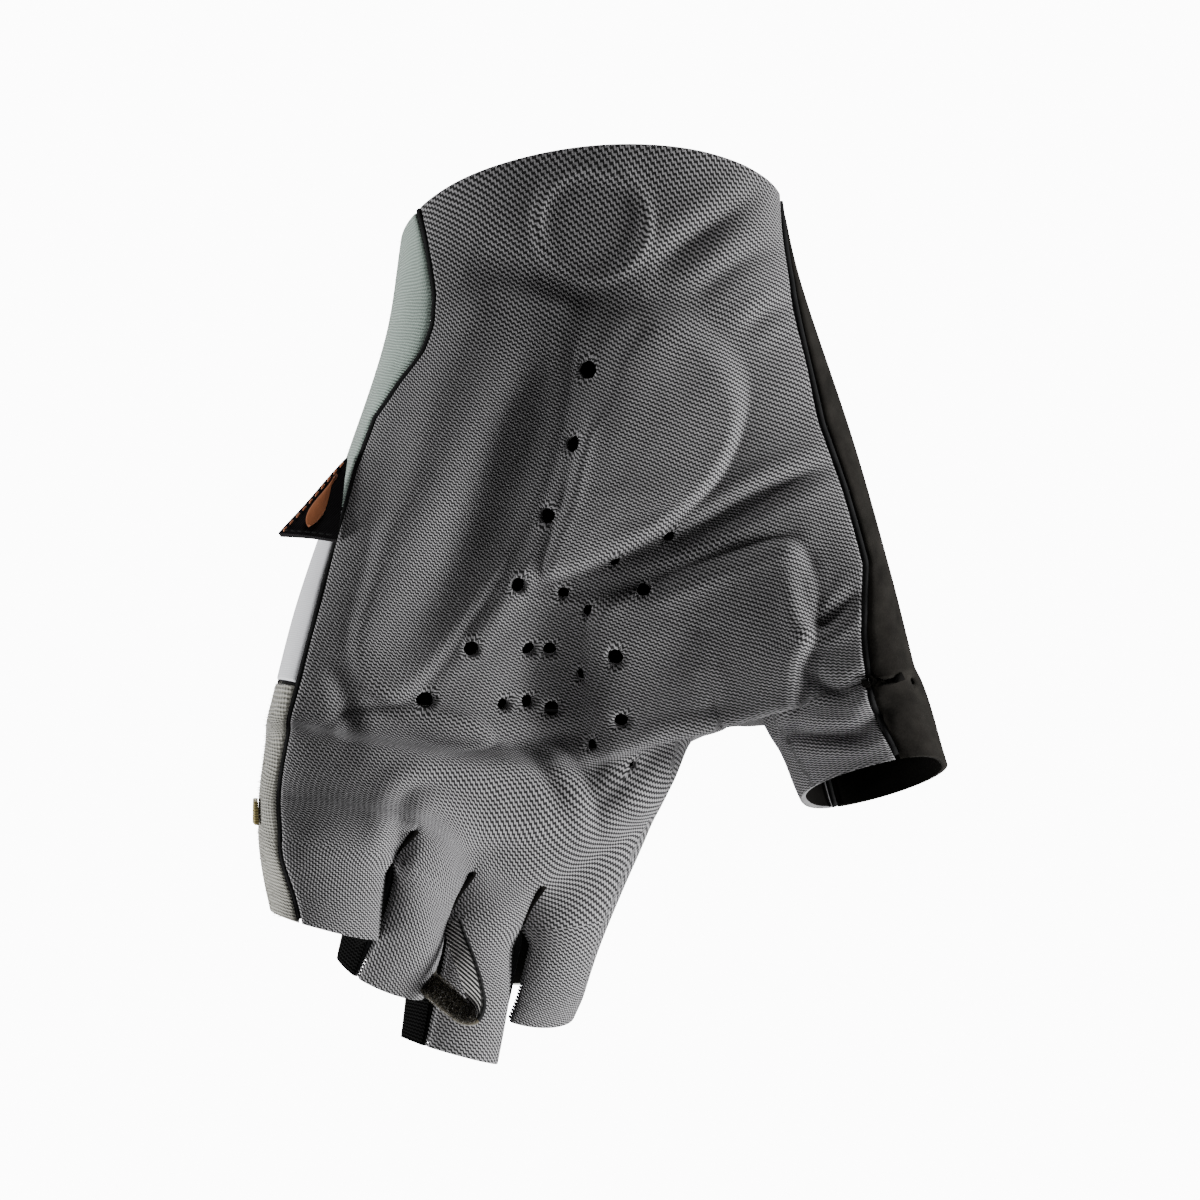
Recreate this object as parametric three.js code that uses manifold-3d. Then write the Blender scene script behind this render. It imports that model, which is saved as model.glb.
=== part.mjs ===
// Short-finger mountain bike glove for a left hand, shown holding its worn form.
// X runs across the hand towards the thumb, -Y is the palm side, +Z points up to the cuff.
// The origin is the centre of the wrist opening.
import * as THREE from 'three';
import { mergeVertices } from 'three/addons/utils/BufferGeometryUtils.js';
import Module from 'manifold-3d';

// Driving sizes in millimetres
const REACH = 152;           // wrist centre to the end of the middle finger stall
const BREADTH = 84;          // breadth of the palm, the unit of every "across" share
const DEPTH = 40;            // thickness of the hand, the unit of every "depth" share
const HEEL_RISE = 14.3;      // height of the palm heel above the wrist centre
const HEEL_FULLNESS = 1.35;  // exponent of the heel edge, higher falls sooner to its corners
const WALL = 1.2;            // fabric thickness
const SEAM_GAP = 0.45;       // clearance between two neighbouring panels
const CROTCH_DROP = 1.35;    // drop of a finger gusset below the palm fabric
const CROTCH_INSET = 1.15;   // clearance of a finger side wall where it meets a panel at a right angle
const WEB_INSET = 2.5;       // the same at the thumb web
const ROW_PITCH = 3.8;       // length of one mesh row along the hand

// Where the hand divides, as shares of the reach
const WEB_AT = 0.59;
const CROTCH_AT = 0.80;
const THUMB_SHARE = 0.71;    // share of the palm breadth that belongs to the four fingers
const WEB_RUN = 0.05;        // length over which the thumb web rounds off
const CROTCH_RUN = 0.03;     // length over which a finger crotch rounds off
const ROUNDNESS = 0.78;      // exponent of the cross-section, below one is fuller than an ellipse
const TRUNK_TURN = 0.35;     // how much of its own cross slope the palm section follows
const BODY_TURN = 0.60;      // the same for the four-finger body
const WEB_TURN_RUN = 0.12;   // length over which a section turns to its own direction below the web
const TURN_RUN = 0.10;       // the same below a finger crotch
const VALLEY_RUN = 0.075;    // length over which the valleys between the fingers deepen above their crotches

// Points are [across, along, depth] shares; along grows towards the fingers, depth towards the back
const TRUNK_ROWS = [
  { name: 'cuff', at: 0.00, little: [-0.388, 0.050, -0.050], middle: [0.000, 0.000, 0.000], thumb: [0.390, -0.050, 0.000] },
  { name: 'heel', at: 0.14, little: [-0.383, 0.174, -0.125], middle: [0.044, 0.139, 0.025], thumb: [0.463, 0.037, 0.000] },
  { name: 'ball', at: 0.31, little: [-0.422, 0.333, -0.225], middle: [0.085, 0.314, 0.075], thumb: [0.621, 0.200, -0.075] },
  { name: 'root', at: 0.48, little: [-0.467, 0.499, -0.325], middle: [0.128, 0.483, 0.100], thumb: [0.745, 0.344, -0.200] },
  { name: 'web', at: WEB_AT, little: [-0.484, 0.621, -0.400], middle: [0.188, 0.590, 0.120], thumb: [0.819, 0.438, -0.300] },
];

// Finger borders across the four-finger body
const BODY_SHARES = [0, 0.28, 0.48, 0.71, 1];
const BODY_ROWS = [
  { name: 'fork', at: 0.66,
    edges: [[-0.481, 0.660, -0.430], [-0.206, 0.668, -0.250], [-0.028, 0.671, -0.030], [0.173, 0.657, 0.120], [0.398, 0.570, 0.150]] },
  { name: 'knuckle', at: 0.74,
    edges: [[-0.475, 0.722, -0.490], [-0.185, 0.713, -0.320], [-0.067, 0.752, 0.020], [0.108, 0.757, 0.210], [0.345, 0.658, 0.280]] },
  { name: 'crotch', at: CROTCH_AT,
    edges: [[-0.461, 0.766, -0.560], [-0.203, 0.765, -0.350], [-0.078, 0.816, 0.060], [0.092, 0.820, 0.290], [0.289, 0.791, 0.420]] },
];

// Stall ends of the fingers: half depths and the extra length of the palm side in millimetres
const FINGERS = [
  { name: 'little', border: 0, end: 0.92, left: [-0.400, 0.857, -0.630], right: [-0.196, 0.864, -0.395], front: 7.0, back: 6.0, lip: 2.2 },
  { name: 'ring', border: 1, end: 0.94, left: [-0.244, 0.906, -0.160], right: [-0.087, 0.920, 0.070], front: 6.6, back: 6.8, lip: 0.8 },
  { name: 'middle', border: 2, end: 0.96, left: [-0.080, 0.981, 0.100], right: [0.088, 0.990, 0.330], front: 7.4, back: 7.2, lip: 0.6 },
  { name: 'index', border: 3, end: 0.94, left: [0.074, 0.929, 0.420], right: [0.232, 0.911, 0.640], front: 7.3, back: 7.1, lip: 0.0 },
];
const THUMB_ROWS = [
  { name: 'neck', at: 0.65, left: [0.557, 0.541, -0.020], right: [0.843, 0.462, -0.290], front: 12.0, back: 10.8, lip: 0.0 },
  { name: 'end', at: 0.76, left: [0.659, 0.624, -0.110], right: [0.928, 0.549, -0.290], front: 10.2, back: 9.8, lip: -2.6 },
];

// Half depth of the hand in front of and behind its centre surface
const HALF_DEPTHS = [
  { at: 0.00, front: 17.0, back: 16.0 },
  { at: 0.14, front: 20.0, back: 18.0 },
  { at: 0.31, front: 20.5, back: 17.0 },
  { at: 0.48, front: 18.5, back: 15.5 },
  { at: 0.59, front: 15.0, back: 13.5 },
  { at: 0.74, front: 11.8, back: 11.2 },
  { at: 0.80, front: 9.4, back: 9.2 },
];

// Shares of a closed cross-section that lie beyond a seam on the side wall
const SIDE_ANGLES = { finger: 25, indexWeb: 40, thumbWeb: 45, bodyWeb: 40 };

// How far the back fabric wraps round to the palm side, as shares of the breadth
const LITTLE_WRAP = [
  { at: 0.00, wrap: 0.020 }, { at: 0.05, wrap: 0.050 }, { at: 0.09, wrap: 0.072 }, { at: 0.12, wrap: 0.077 },
  { at: 0.15, wrap: 0.068 }, { at: 0.19, wrap: 0.040 }, { at: 0.24, wrap: 0.016 }, { at: 0.31, wrap: 0.012 },
  { at: 0.37, wrap: 0.018 }, { at: 0.50, wrap: 0.028 }, { at: 0.95, wrap: 0.028 },
];
const THUMB_WRAP = [
  { at: 0.00, wrap: 0.006 }, { at: 0.12, wrap: 0.012 }, { at: 0.28, wrap: 0.034 }, { at: 0.36, wrap: 0.028 },
  { at: 0.46, wrap: 0.026 }, { at: 0.54, wrap: 0.056 }, { at: 0.62, wrap: 0.072 }, { at: 0.76, wrap: 0.076 },
];

// Seams across the back, as shares of the reach
const CUFF_BACK_END = 0.36;
const HAND_BACK_END = 0.565;

// Raised pads of the palm: centre, half sizes in millimetres, lean of the long axis and taper to its lower end
const PADS = [
  { name: 'thenar', across: 0.232, along: 0.240, halfLong: 27.5, halfWide: 13.4, lean: 21, taper: 0.42, height: 2.8, edge: 2.6 },
  { name: 'hypothenar', across: -0.205, along: 0.375, halfLong: 40.0, halfWide: 16.8, lean: 15, taper: -0.10, height: 2.0, edge: 4.5 },
  { name: 'thumb_web', across: 0.385, along: 0.470, halfLong: 22.0, halfWide: 14.0, lean: 52, taper: -0.15, height: 2.4, edge: 3.0 },
  { name: 'little_base', across: -0.190, along: 0.668, halfLong: 15.0, halfWide: 5.6, lean: 88, taper: 0.0, height: 1.3, edge: 3.0 },
  { name: 'cup', across: 0.060, along: 0.520, halfLong: 24.0, halfWide: 12.0, lean: 20, taper: 0.0, height: -4.6, edge: 10.0 },
];

// Creases of the palm: two ends, depth and half width in millimetres
const CREASES = [
  { name: 'thumb_line', from: [0.142, 0.392], to: [0.603, 0.224], depth: 1.8, half: 2.6 },
  { name: 'thumb_line_low', from: [0.236, 0.415], to: [0.529, 0.317], depth: 1.3, half: 2.4 },
  { name: 'thumb_tuck', from: [0.601, 0.436], to: [0.683, 0.381], depth: 2.2, half: 2.4 },
  { name: 'finger_line', from: [-0.310, 0.600], to: [0.203, 0.600], depth: 1.0, half: 2.6 },
  { name: 'cup_line', from: [0.218, 0.640], to: [0.038, 0.742], depth: 1.0, half: 2.4 },
];

// Perforations of the palm fabric: place and bore in millimetres
const PERFORATIONS = [
  { across: 0.043, along: 0.169, bore: 3.2 }, { across: 0.041, along: 0.257, bore: 3.0 },
  { across: 0.016, along: 0.348, bore: 2.7 }, { across: -0.022, along: 0.430, bore: 2.7 },
  { across: -0.093, along: 0.514, bore: 2.7 }, { across: -0.178, along: 0.584, bore: 3.1 },
  { across: 0.018, along: 0.502, bore: 2.4 }, { across: 0.069, along: 0.499, bore: 2.4 },
  { across: -0.014, along: 0.570, bore: 2.2 }, { across: 0.038, along: 0.564, bore: 2.2 },
  { across: 0.094, along: 0.566, bore: 2.6 }, { across: 0.242, along: 0.413, bore: 2.8 },
  { across: 0.135, along: 0.444, bore: 2.3 }, { across: 0.073, along: 0.431, bore: 2.0 },
  { across: 0.271, along: 0.342, bore: 2.4 }, { across: 0.171, along: 0.382, bore: 2.0 },
  { across: 0.212, along: 0.495, bore: 2.8 }, { across: 0.241, along: 0.567, bore: 2.4 },
  { across: 0.282, along: 0.614, bore: 1.6 }, { across: 0.146, along: 0.519, bore: 2.2 },
  { across: 0.194, along: 0.600, bore: 2.0 },
];
const SUEDE_HOLE = { across: 0.828, along: 0.462, bore: 1.8 };
const BORE_SIDES = 10;

// Small trim
const TAB = { top: [-0.423, 0.321], tip: [-0.535, 0.423], foot: [-0.413, 0.418], thick: 1.6, gap: 0.4 };
const BADGE = { from: 0.22, to: 0.90, wide: 0.40, thick: 0.5, gap: 0.3, steps: 8 };
const LABEL = { at: 0.752, tall: 5.6, deep: 5.0, thick: 0.7, gap: 0.3 };
const LOOP = { wide: 7.0, thick: 1.0, steps: 28 };

// Colours and surface values
const FINISHES = {
  palm: { color: '#4b494b', roughness: 0.82, metalness: 0 },
  sage: { color: '#93a69b', roughness: 0.88, metalness: 0 },
  white: { color: '#e6e7ea', roughness: 0.72, metalness: 0 },
  cream: { color: '#dedfce', roughness: 0.95, metalness: 0 },
  suede: { color: '#1d1b1b', roughness: 0.92, metalness: 0 },
  gusset: { color: '#161516', roughness: 0.86, metalness: 0 },
  twill: { color: '#3c3a3a', roughness: 0.8, metalness: 0 },
  tab: { color: '#191718', roughness: 0.7, metalness: 0 },
  orange: { color: '#b3582c', roughness: 0.6, metalness: 0 },
  ochre: { color: '#857237', roughness: 0.8, metalness: 0 },
};

// Small helpers
const lerp = (a, b, share) => a + (b - a) * share;
const clamp = (value, low = 0, high = 1) => Math.min(Math.max(value, low), high);
const smooth = (value) => clamp(value) ** 2 * (3 - 2 * clamp(value));
const radians = (degrees) => degrees * Math.PI / 180;
const sideShare = (degrees) => (1 - Math.cos(radians(degrees))) / 2;
const roundProfile = (share) => (2 * Math.sqrt(clamp(share) * (1 - clamp(share)))) ** ROUNDNESS;

function place([across, along, depth]) {
  return new THREE.Vector3(across * BREADTH, depth * DEPTH, -along * REACH);
}

function readTable(table, column, at) {
  const last = table.length - 1;
  let row = 0;
  while (row < last - 1 && at > table[row + 1].at) row += 1;
  const share = clamp((at - table[row].at) / (table[row + 1].at - table[row].at));
  return lerp(table[row][column], table[row + 1][column], share);
}

// Smooth curve through points at uneven stations, with an optional first and last slope
function throughStations(stations, points, at, firstSlope, lastSlope) {
  const last = stations.length - 1;
  let i = 0;
  while (i < last - 1 && at > stations[i + 1]) i += 1;
  const slope = (k) => {
    if (k === 0 && firstSlope) return firstSlope.clone();
    if (k === last && lastSlope) return lastSlope.clone();
    const low = Math.max(k - 1, 0);
    const high = Math.min(k + 1, last);
    return points[high].clone().sub(points[low]).divideScalar(stations[high] - stations[low]);
  };
  const span = stations[i + 1] - stations[i];
  const s = (at - stations[i]) / span;
  const result = points[i].clone().multiplyScalar(2 * s ** 3 - 3 * s ** 2 + 1);
  result.addScaledVector(slope(i), (s ** 3 - 2 * s ** 2 + s) * span);
  result.addScaledVector(points[i + 1], -2 * s ** 3 + 3 * s ** 2);
  result.addScaledVector(slope(i + 1), (s ** 3 - s ** 2) * span);
  return result;
}

// Centre surface of the hand before it divides; t runs from the little finger edge to the thumb edge
function trunkRow(row, t) {
  const result = place(row.little).multiplyScalar((1 - t) * (1 - 2 * t));
  result.addScaledVector(place(row.middle), 4 * t * (1 - t));
  return result.addScaledVector(place(row.thumb), t * (2 * t - 1));
}

function trunkPoint(t, at) {
  return throughStations(TRUNK_ROWS.map((row) => row.at), TRUNK_ROWS.map((row) => trunkRow(row, t)), at);
}

function trunkSlopeAtWeb(t) {
  const [before, web] = TRUNK_ROWS.slice(-2);
  return trunkRow(web, t).sub(trunkRow(before, t)).divideScalar(web.at - before.at);
}

function bodyRow(row, t) {
  return throughStations(BODY_SHARES, row.edges.map(place), t);
}

// Centre surface of the four-finger body below the thumb web
function bodyPoint(t, at) {
  const web = trunkRow(TRUNK_ROWS.at(-1), t * THUMB_SHARE);
  const stations = [WEB_AT, ...BODY_ROWS.map((row) => row.at)];
  const points = [web, ...BODY_ROWS.map((row) => bodyRow(row, t))];
  return throughStations(stations, points, at, trunkSlopeAtWeb(t * THUMB_SHARE));
}

function bodySlopeAtCrotch(t) {
  const [before, crotch] = BODY_ROWS.slice(-2);
  return bodyRow(crotch, t).sub(bodyRow(before, t)).divideScalar(crotch.at - before.at);
}

const bodyShare = (finger, t) => lerp(BODY_SHARES[finger.border], BODY_SHARES[finger.border + 1], t);

// One digit of the hand: finger is a row of FINGERS, or null for the thumb
function centre(finger, t, at) {
  if (!finger) {
    const trunkT = lerp(THUMB_SHARE, 1, t);
    if (at <= WEB_AT) return trunkPoint(trunkT, at);
    const stations = [WEB_AT, ...THUMB_ROWS.map((row) => row.at)];
    const ends = THUMB_ROWS.map((row) => place(row.left).lerp(place(row.right), t));
    return throughStations(stations, [trunkRow(TRUNK_ROWS.at(-1), trunkT), ...ends], at, trunkSlopeAtWeb(trunkT));
  }
  const bodyT = bodyShare(finger, t);
  if (at <= WEB_AT) return trunkPoint(bodyT * THUMB_SHARE, at);
  if (at <= CROTCH_AT) return bodyPoint(bodyT, at);
  const end = place(finger.left).lerp(place(finger.right), t);
  const points = [bodyRow(BODY_ROWS.at(-1), bodyT), end];
  return throughStations([CROTCH_AT, finger.end], points, at, bodySlopeAtCrotch(bodyT));
}

// How far a digit has closed off from its neighbour, from 0 to 1
const webClosed = (at) => smooth((at - WEB_AT) / WEB_RUN);
const crotchClosed = (at) => smooth((at - CROTCH_AT) / CROTCH_RUN);
const isWebSide = (finger, right) => (finger ? finger.name === 'index' && right : !right);
const isOuterSide = (finger, right) => (finger ? finger.name === 'little' && !right : right);

// Side wall of a digit: its half angle and how closed it is
function sideWall(finger, right, at) {
  if (isOuterSide(finger, right)) return { angle: 0, closed: 1 };
  if (isWebSide(finger, right)) {
    return { angle: finger ? SIDE_ANGLES.indexWeb : SIDE_ANGLES.thumbWeb, closed: webClosed(at) };
  }
  return { angle: SIDE_ANGLES.finger, closed: crotchClosed(at) };
}

// Turns a share of the closed cross-section into a share of the centre surface
function openShare(finger, share, at) {
  const left = sideWall(finger, false, at);
  const right = sideWall(finger, true, at);
  const cutLeft = sideShare(left.angle) * (1 - left.closed);
  const cutRight = sideShare(right.angle) * (1 - right.closed);
  return clamp((share - cutLeft) / (1 - cutLeft - cutRight));
}

// Unit direction between two points, with its slope towards the back scaled
function direction(from, to, turn = 1) {
  const result = to.clone().sub(from);
  result.y *= turn;
  return result.normalize();
}

const turned = (at) => smooth((at - CROTCH_AT) / TURN_RUN);
const webTurned = (at) => smooth((at - WEB_AT) / WEB_TURN_RUN);

// Direction across the hand at a point of the centre surface
function acrossAt(finger, t, at) {
  const reach = 0.2;
  const trunkT = finger ? bodyShare(finger, t) * THUMB_SHARE : lerp(THUMB_SHARE, 1, t);
  const trunkAt = Math.min(at, WEB_AT);
  const trunk = direction(trunkPoint(clamp(trunkT - reach), trunkAt), trunkPoint(clamp(trunkT + reach), trunkAt), TRUNK_TURN);
  if (at <= WEB_AT) return trunk;
  if (!finger) return trunk.lerp(direction(centre(null, 0, at), centre(null, 1, at)), webTurned(at)).normalize();
  const bodyT = bodyShare(finger, t);
  const bodyAt = Math.min(at, CROTCH_AT);
  const body = direction(bodyPoint(clamp(bodyT - reach), bodyAt), bodyPoint(clamp(bodyT + reach), bodyAt), BODY_TURN);
  const parent = trunk.lerp(body, webTurned(at)).normalize();
  return parent.lerp(direction(centre(finger, 0, at), centre(finger, 1, at)), turned(at)).normalize();
}

// Direction along the hand towards the fingers, the same across a whole section
function axisAt(finger, at) {
  const step = 0.01;
  const trunkAt = clamp(at, step, WEB_AT);
  const trunk = direction(trunkPoint(0.5, trunkAt - step), trunkPoint(0.5, trunkAt), TRUNK_TURN);
  if (at <= WEB_AT) return trunk;
  if (!finger) return trunk.lerp(direction(centre(null, 0.5, at - step), centre(null, 0.5, at)), webTurned(at)).normalize();
  const bodyAt = clamp(at, WEB_AT + step, CROTCH_AT);
  const body = direction(bodyPoint(0.5, bodyAt - step), bodyPoint(0.5, bodyAt), BODY_TURN);
  const parent = trunk.lerp(body, webTurned(at)).normalize();
  if (at <= CROTCH_AT) return parent;
  return parent.lerp(direction(centre(finger, 0.5, at - step), centre(finger, 0.5, at)), turned(at)).normalize();
}

// Direction out of the palm at a point of the centre surface
const palmwards = (finger, t, at) => axisAt(finger, at).cross(acrossAt(finger, t, at)).normalize();

// Half depth of the hand at a share of a digit
function halfDepth(finger, t, at, side) {
  const web = SIDE_ANGLES;
  const full = readTable(HALF_DEPTHS, side, at);
  const thumbJoin = roundProfile(1 - sideShare(web.bodyWeb)) / roundProfile(sideShare(web.thumbWeb));
  const cut = 1 - webClosed(at);
  const trunkBlend = smooth((at - (WEB_AT - 0.18)) / 0.18);
  if (!finger) {
    const cutShare = sideShare(web.thumbWeb) * cut;
    const own = roundProfile(lerp(cutShare, 1, t));
    const join = readTable(HALF_DEPTHS, side, Math.min(at, WEB_AT)) * thumbJoin;
    const [neck, end] = THUMB_ROWS;
    const rows = [{ at: WEB_AT, [side]: join }, neck, end];
    const depth = at <= WEB_AT ? join : readTable(rows, side, at);
    const trunk = roundProfile(lerp(THUMB_SHARE, 1, t)) * full;
    return at <= WEB_AT ? lerp(trunk, own * depth, trunkBlend) : own * depth;
  }
  const bodyT = bodyShare(finger, t);
  const trunk = roundProfile(bodyT * THUMB_SHARE) * full;
  const body = roundProfile(bodyT * (1 - sideShare(web.bodyWeb) * cut)) * full;
  if (at <= WEB_AT) return lerp(trunk, body, trunkBlend);
  const left = sideWall(finger, false, at);
  const right = sideWall(finger, true, at);
  const cutLeft = sideShare(left.angle) * (1 - left.closed);
  const cutRight = sideShare(right.angle) * (1 - right.closed);
  const ownRows = [{ at: CROTCH_AT, [side]: HALF_DEPTHS.at(-1)[side] }, { at: finger.end, [side]: finger[side] }];
  const ownDepth = at <= CROTCH_AT ? full : readTable(ownRows, side, at);
  const own = roundProfile(lerp(cutLeft, 1 - cutRight, t)) * ownDepth;
  return lerp(body, own, smooth((at - (CROTCH_AT - VALLEY_RUN)) / VALLEY_RUN));
}

// Raised pads and creases of the palm in millimetres, at a place in the front view
function palmRelief(x, z) {
  let rise = 0;
  for (const pad of PADS) {
    const dx = x - pad.across * BREADTH;
    const dz = z + pad.along * REACH;
    const lean = radians(pad.lean);
    const far = (dx * Math.sin(lean) + dz * Math.cos(lean)) / pad.halfLong;
    const wide = (dx * Math.cos(lean) - dz * Math.sin(lean)) / (pad.halfWide * (1 + pad.taper * far));
    const inside = (1 - Math.hypot(far, wide)) * pad.halfWide;
    rise += pad.height * smooth(inside / pad.edge);
  }
  for (const crease of CREASES) {
    const [x1, z1] = [crease.from[0] * BREADTH, -crease.from[1] * REACH];
    const [x2, z2] = [crease.to[0] * BREADTH, -crease.to[1] * REACH];
    const length = Math.hypot(x2 - x1, z2 - z1);
    const share = clamp(((x - x1) * (x2 - x1) + (z - z1) * (z2 - z1)) / length ** 2);
    const off = Math.hypot(x - lerp(x1, x2, share), z - lerp(z1, z2, share));
    rise -= crease.depth * Math.exp(-((off / crease.half) ** 2)) * Math.sin(Math.PI * lerp(0.08, 0.92, share));
  }
  return rise;
}

// Extra length of the palm side at the end of a finger stall
function lipDrop(finger, at, signedDepth) {
  const [neck, end] = THUMB_ROWS;
  const { lip, front } = finger ?? end;
  const from = finger ? CROTCH_AT : neck.at;
  const to = finger ? finger.end : end.at;
  return lip * smooth((at - from) / (to - from)) * signedDepth / front;
}

// Point of the glove skin; share is that of the closed cross-section, scale shrinks the half depth
function skinPoint(finger, share, at, side, scale = 1) {
  const t = openShare(finger, share, at);
  const trunkT = finger ? bodyShare(finger, t) * THUMB_SHARE : lerp(THUMB_SHARE, 1, t);
  const outward = palmwards(finger, t, at);
  const base = centre(finger, t, at);
  const sign = side === 'front' ? 1 : -1;
  const depth = halfDepth(finger, t, at, side) * scale;
  const point = base.clone().addScaledVector(outward, sign * depth);
  const edge = clamp(roundProfile(trunkT) * scale * 1.4);
  if (side === 'front') {
    point.addScaledVector(outward, palmRelief(point.x, point.z) * edge);
    const rise = HEEL_RISE * roundProfile(trunkT) ** HEEL_FULLNESS * (1 - clamp(at / 0.17)) ** 2;
    point.z += rise * scale;
  }
  point.z -= lipDrop(finger, at, sign * depth);
  return point;
}

// Point on the rounded side wall of a digit; turn runs from 1 on the palm side to -1 on the back
function sidePoint(finger, right, turn, at) {
  const { angle } = sideWall(finger, right, at);
  const bend = radians(angle);
  const edge = sideShare(angle);
  const side = turn >= 0 ? 'front' : 'back';
  const edgeT = openShare(finger, right ? 1 - edge : edge, at);
  const share = (1 - Math.cos(bend * turn)) / 2;
  const t = openShare(finger, right ? 1 - share : share, at);
  const depth = halfDepth(finger, edgeT, at, side) * (Math.abs(Math.sin(bend * turn)) / Math.sin(bend)) ** ROUNDNESS;
  const outward = palmwards(finger, t, at);
  const point = centre(finger, t, at).addScaledVector(outward, Math.sign(turn) * depth);
  if (side === 'front') point.addScaledVector(outward, palmRelief(point.x, point.z) * clamp(depth / 6));
  point.z -= lipDrop(finger, at, Math.sign(turn) * depth);
  return point;
}

// Rows from one station to another, none longer than the row pitch
function rowsBetween(from, to, pitch = ROW_PITCH) {
  const count = Math.max(1, Math.round((to - from) * REACH / pitch));
  return Array.from({ length: count + 1 }, (unused, i) => lerp(from, to, i / count));
}

function rowsThrough(stations, pitch) {
  const rows = [stations[0]];
  for (let i = 1; i < stations.length; i += 1) rows.push(...rowsBetween(stations[i - 1], stations[i], pitch).slice(1));
  return rows;
}

// Width of a digit at a station, used to turn clearances into shares
const digitWidth = (finger, at) => centre(finger, 0, at).distanceTo(centre(finger, 1, at));
const gapShare = (finger, at) => SEAM_GAP / 2 / digitWidth(finger, at) * (finger && finger.name !== 'index' ? 1 : 1.8);

function wrapShare(finger, at) {
  const table = finger ? LITTLE_WRAP : THUMB_WRAP;
  return readTable(table, 'wrap', at) * BREADTH / digitWidth(finger, at);
}

// Strip of fabric on the front of one digit, columns from left to right
function frontStrip(finger, rows, columns) {
  return rows.map((at) => {
    const gap = gapShare(finger, at);
    const leftWall = sideWall(finger, false, at);
    const rightWall = sideWall(finger, true, at);
    const free = (right) => !isWebSide(finger, right) && at > CROTCH_AT;
    let start = sideShare(leftWall.angle) + (free(false) ? gap : 0);
    let stop = 1 - sideShare(rightWall.angle) - (free(true) ? gap : 0);
    if (isOuterSide(finger, false)) start = wrapShare(finger, at) + gap;
    if (isOuterSide(finger, true)) stop = 1 - wrapShare(finger, at) - gap;
    return Array.from({ length: columns + 1 }, (unused, i) => {
      const share = lerp(start, stop, (1 - Math.cos(Math.PI * lerp(0.12, 0.88, i / columns)) - 0.0702) / 1.8596);
      const exact = i === 0 ? start : i === columns ? stop : share;
      return skinPoint(finger, exact, at, 'front');
    });
  });
}

// Strip of fabric on the back of one digit, columns from right to left
function backStrip(finger, rows, columns, openRight) {
  return rows.map((at) => {
    const gap = gapShare(finger, at);
    const leftWall = sideWall(finger, false, at);
    const rightWall = sideWall(finger, true, at);
    const start = sideShare(leftWall.angle) + (at > CROTCH_AT && !isOuterSide(finger, false) ? gap : 0);
    const stop = 1 - sideShare(rightWall.angle) - (at > CROTCH_AT || openRight ? gap : 0);
    const thumbStart = finger ? start : sideShare(leftWall.angle) + gap;
    const right = isOuterSide(finger, true) ? 1 : stop;
    return Array.from({ length: columns + 1 }, (unused, i) => {
      const share = lerp(right, thumbStart, i / columns);
      return skinPoint(finger, share, at, 'back');
    });
  });
}

// Strip that turns from the outer edge of the hand on to the palm side
function wrapStrip(finger, rows, columns) {
  return rows.map((at) => {
    const reach = wrapShare(finger, at) - gapShare(finger, at);
    return Array.from({ length: columns + 1 }, (unused, i) => {
      const share = finger ? reach * (i / columns) ** 2 : 1 - reach * (1 - i / columns) ** 2;
      return skinPoint(finger, share, at, 'front');
    });
  });
}

// Rounded side wall of a digit; right walls run front to back, left walls back to front
function sideStrip(finger, right, rows, columns, insets, firstRow) {
  return rows.map((at, r) => {
    if (r === 0 && firstRow) return right ? firstRow : [...firstRow].reverse();
    const { angle } = sideWall(finger, right, at);
    const arc = halfDepth(finger, right ? 1 - sideShare(angle) : sideShare(angle), at, 'front');
    const trim = (end) => (insets[end] ? lerp(insets[end], SEAM_GAP / 2, clamp(r / 5)) / arc : 0);
    return Array.from({ length: columns + 1 }, (unused, i) => {
      const turn = lerp(1 - trim('front'), -1 + trim('back'), right ? i / columns : 1 - i / columns);
      return sidePoint(finger, right, turn, at);
    });
  });
}

// Closed body from one or more strips of points, given the fabric thickness
function panel(strips, thickness = WALL) {
  const sheet = new Map();
  const points = [];
  const faces = [];
  const indexOf = (point) => {
    const key = [point.x, point.y, point.z].map((value) => Math.round(value * 500)).join(' ');
    if (!sheet.has(key)) {
      sheet.set(key, points.length);
      points.push(point);
    }
    return sheet.get(key);
  };
  const addFace = (a, b, c) => {
    if (a !== b && b !== c && c !== a) faces.push([a, b, c]);
  };
  for (const strip of strips) {
    const ids = strip.map((row) => row.map(indexOf));
    for (let r = 0; r + 1 < ids.length; r += 1) {
      for (let c = 0; c + 1 < ids[r].length; c += 1) {
        addFace(ids[r][c], ids[r + 1][c], ids[r][c + 1]);
        addFace(ids[r][c + 1], ids[r + 1][c], ids[r + 1][c + 1]);
      }
    }
  }
  const normals = points.map(() => new THREE.Vector3());
  const corner = new THREE.Vector3();
  for (const [a, b, c] of faces) {
    const edge = points[b].clone().sub(points[a]);
    corner.subVectors(points[c], points[a]);
    const normal = edge.cross(corner);
    normals[a].add(normal);
    normals[b].add(normal);
    normals[c].add(normal);
  }
  const values = [];
  for (const offset of [thickness / 2, -thickness / 2]) {
    points.forEach((point, i) => {
      const moved = point.clone().addScaledVector(normals[i].clone().normalize(), offset);
      values.push(moved.x, moved.y, moved.z);
    });
  }
  const count = points.length;
  const triangles = [];
  const open = new Map();
  for (const [a, b, c] of faces) {
    triangles.push(a, b, c, a + count, c + count, b + count);
    for (const [from, to] of [[a, b], [b, c], [c, a]]) {
      const back = `${to} ${from}`;
      if (open.has(back)) open.delete(back);
      else open.set(`${from} ${to}`, [from, to]);
    }
  }
  for (const [from, to] of open.values()) {
    triangles.push(to, from, from + count, to, from + count, to + count);
  }
  const geometry = new THREE.BufferGeometry();
  geometry.setAttribute('position', new THREE.Float32BufferAttribute(values, 3));
  geometry.setIndex(triangles);
  return geometry;
}

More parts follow.
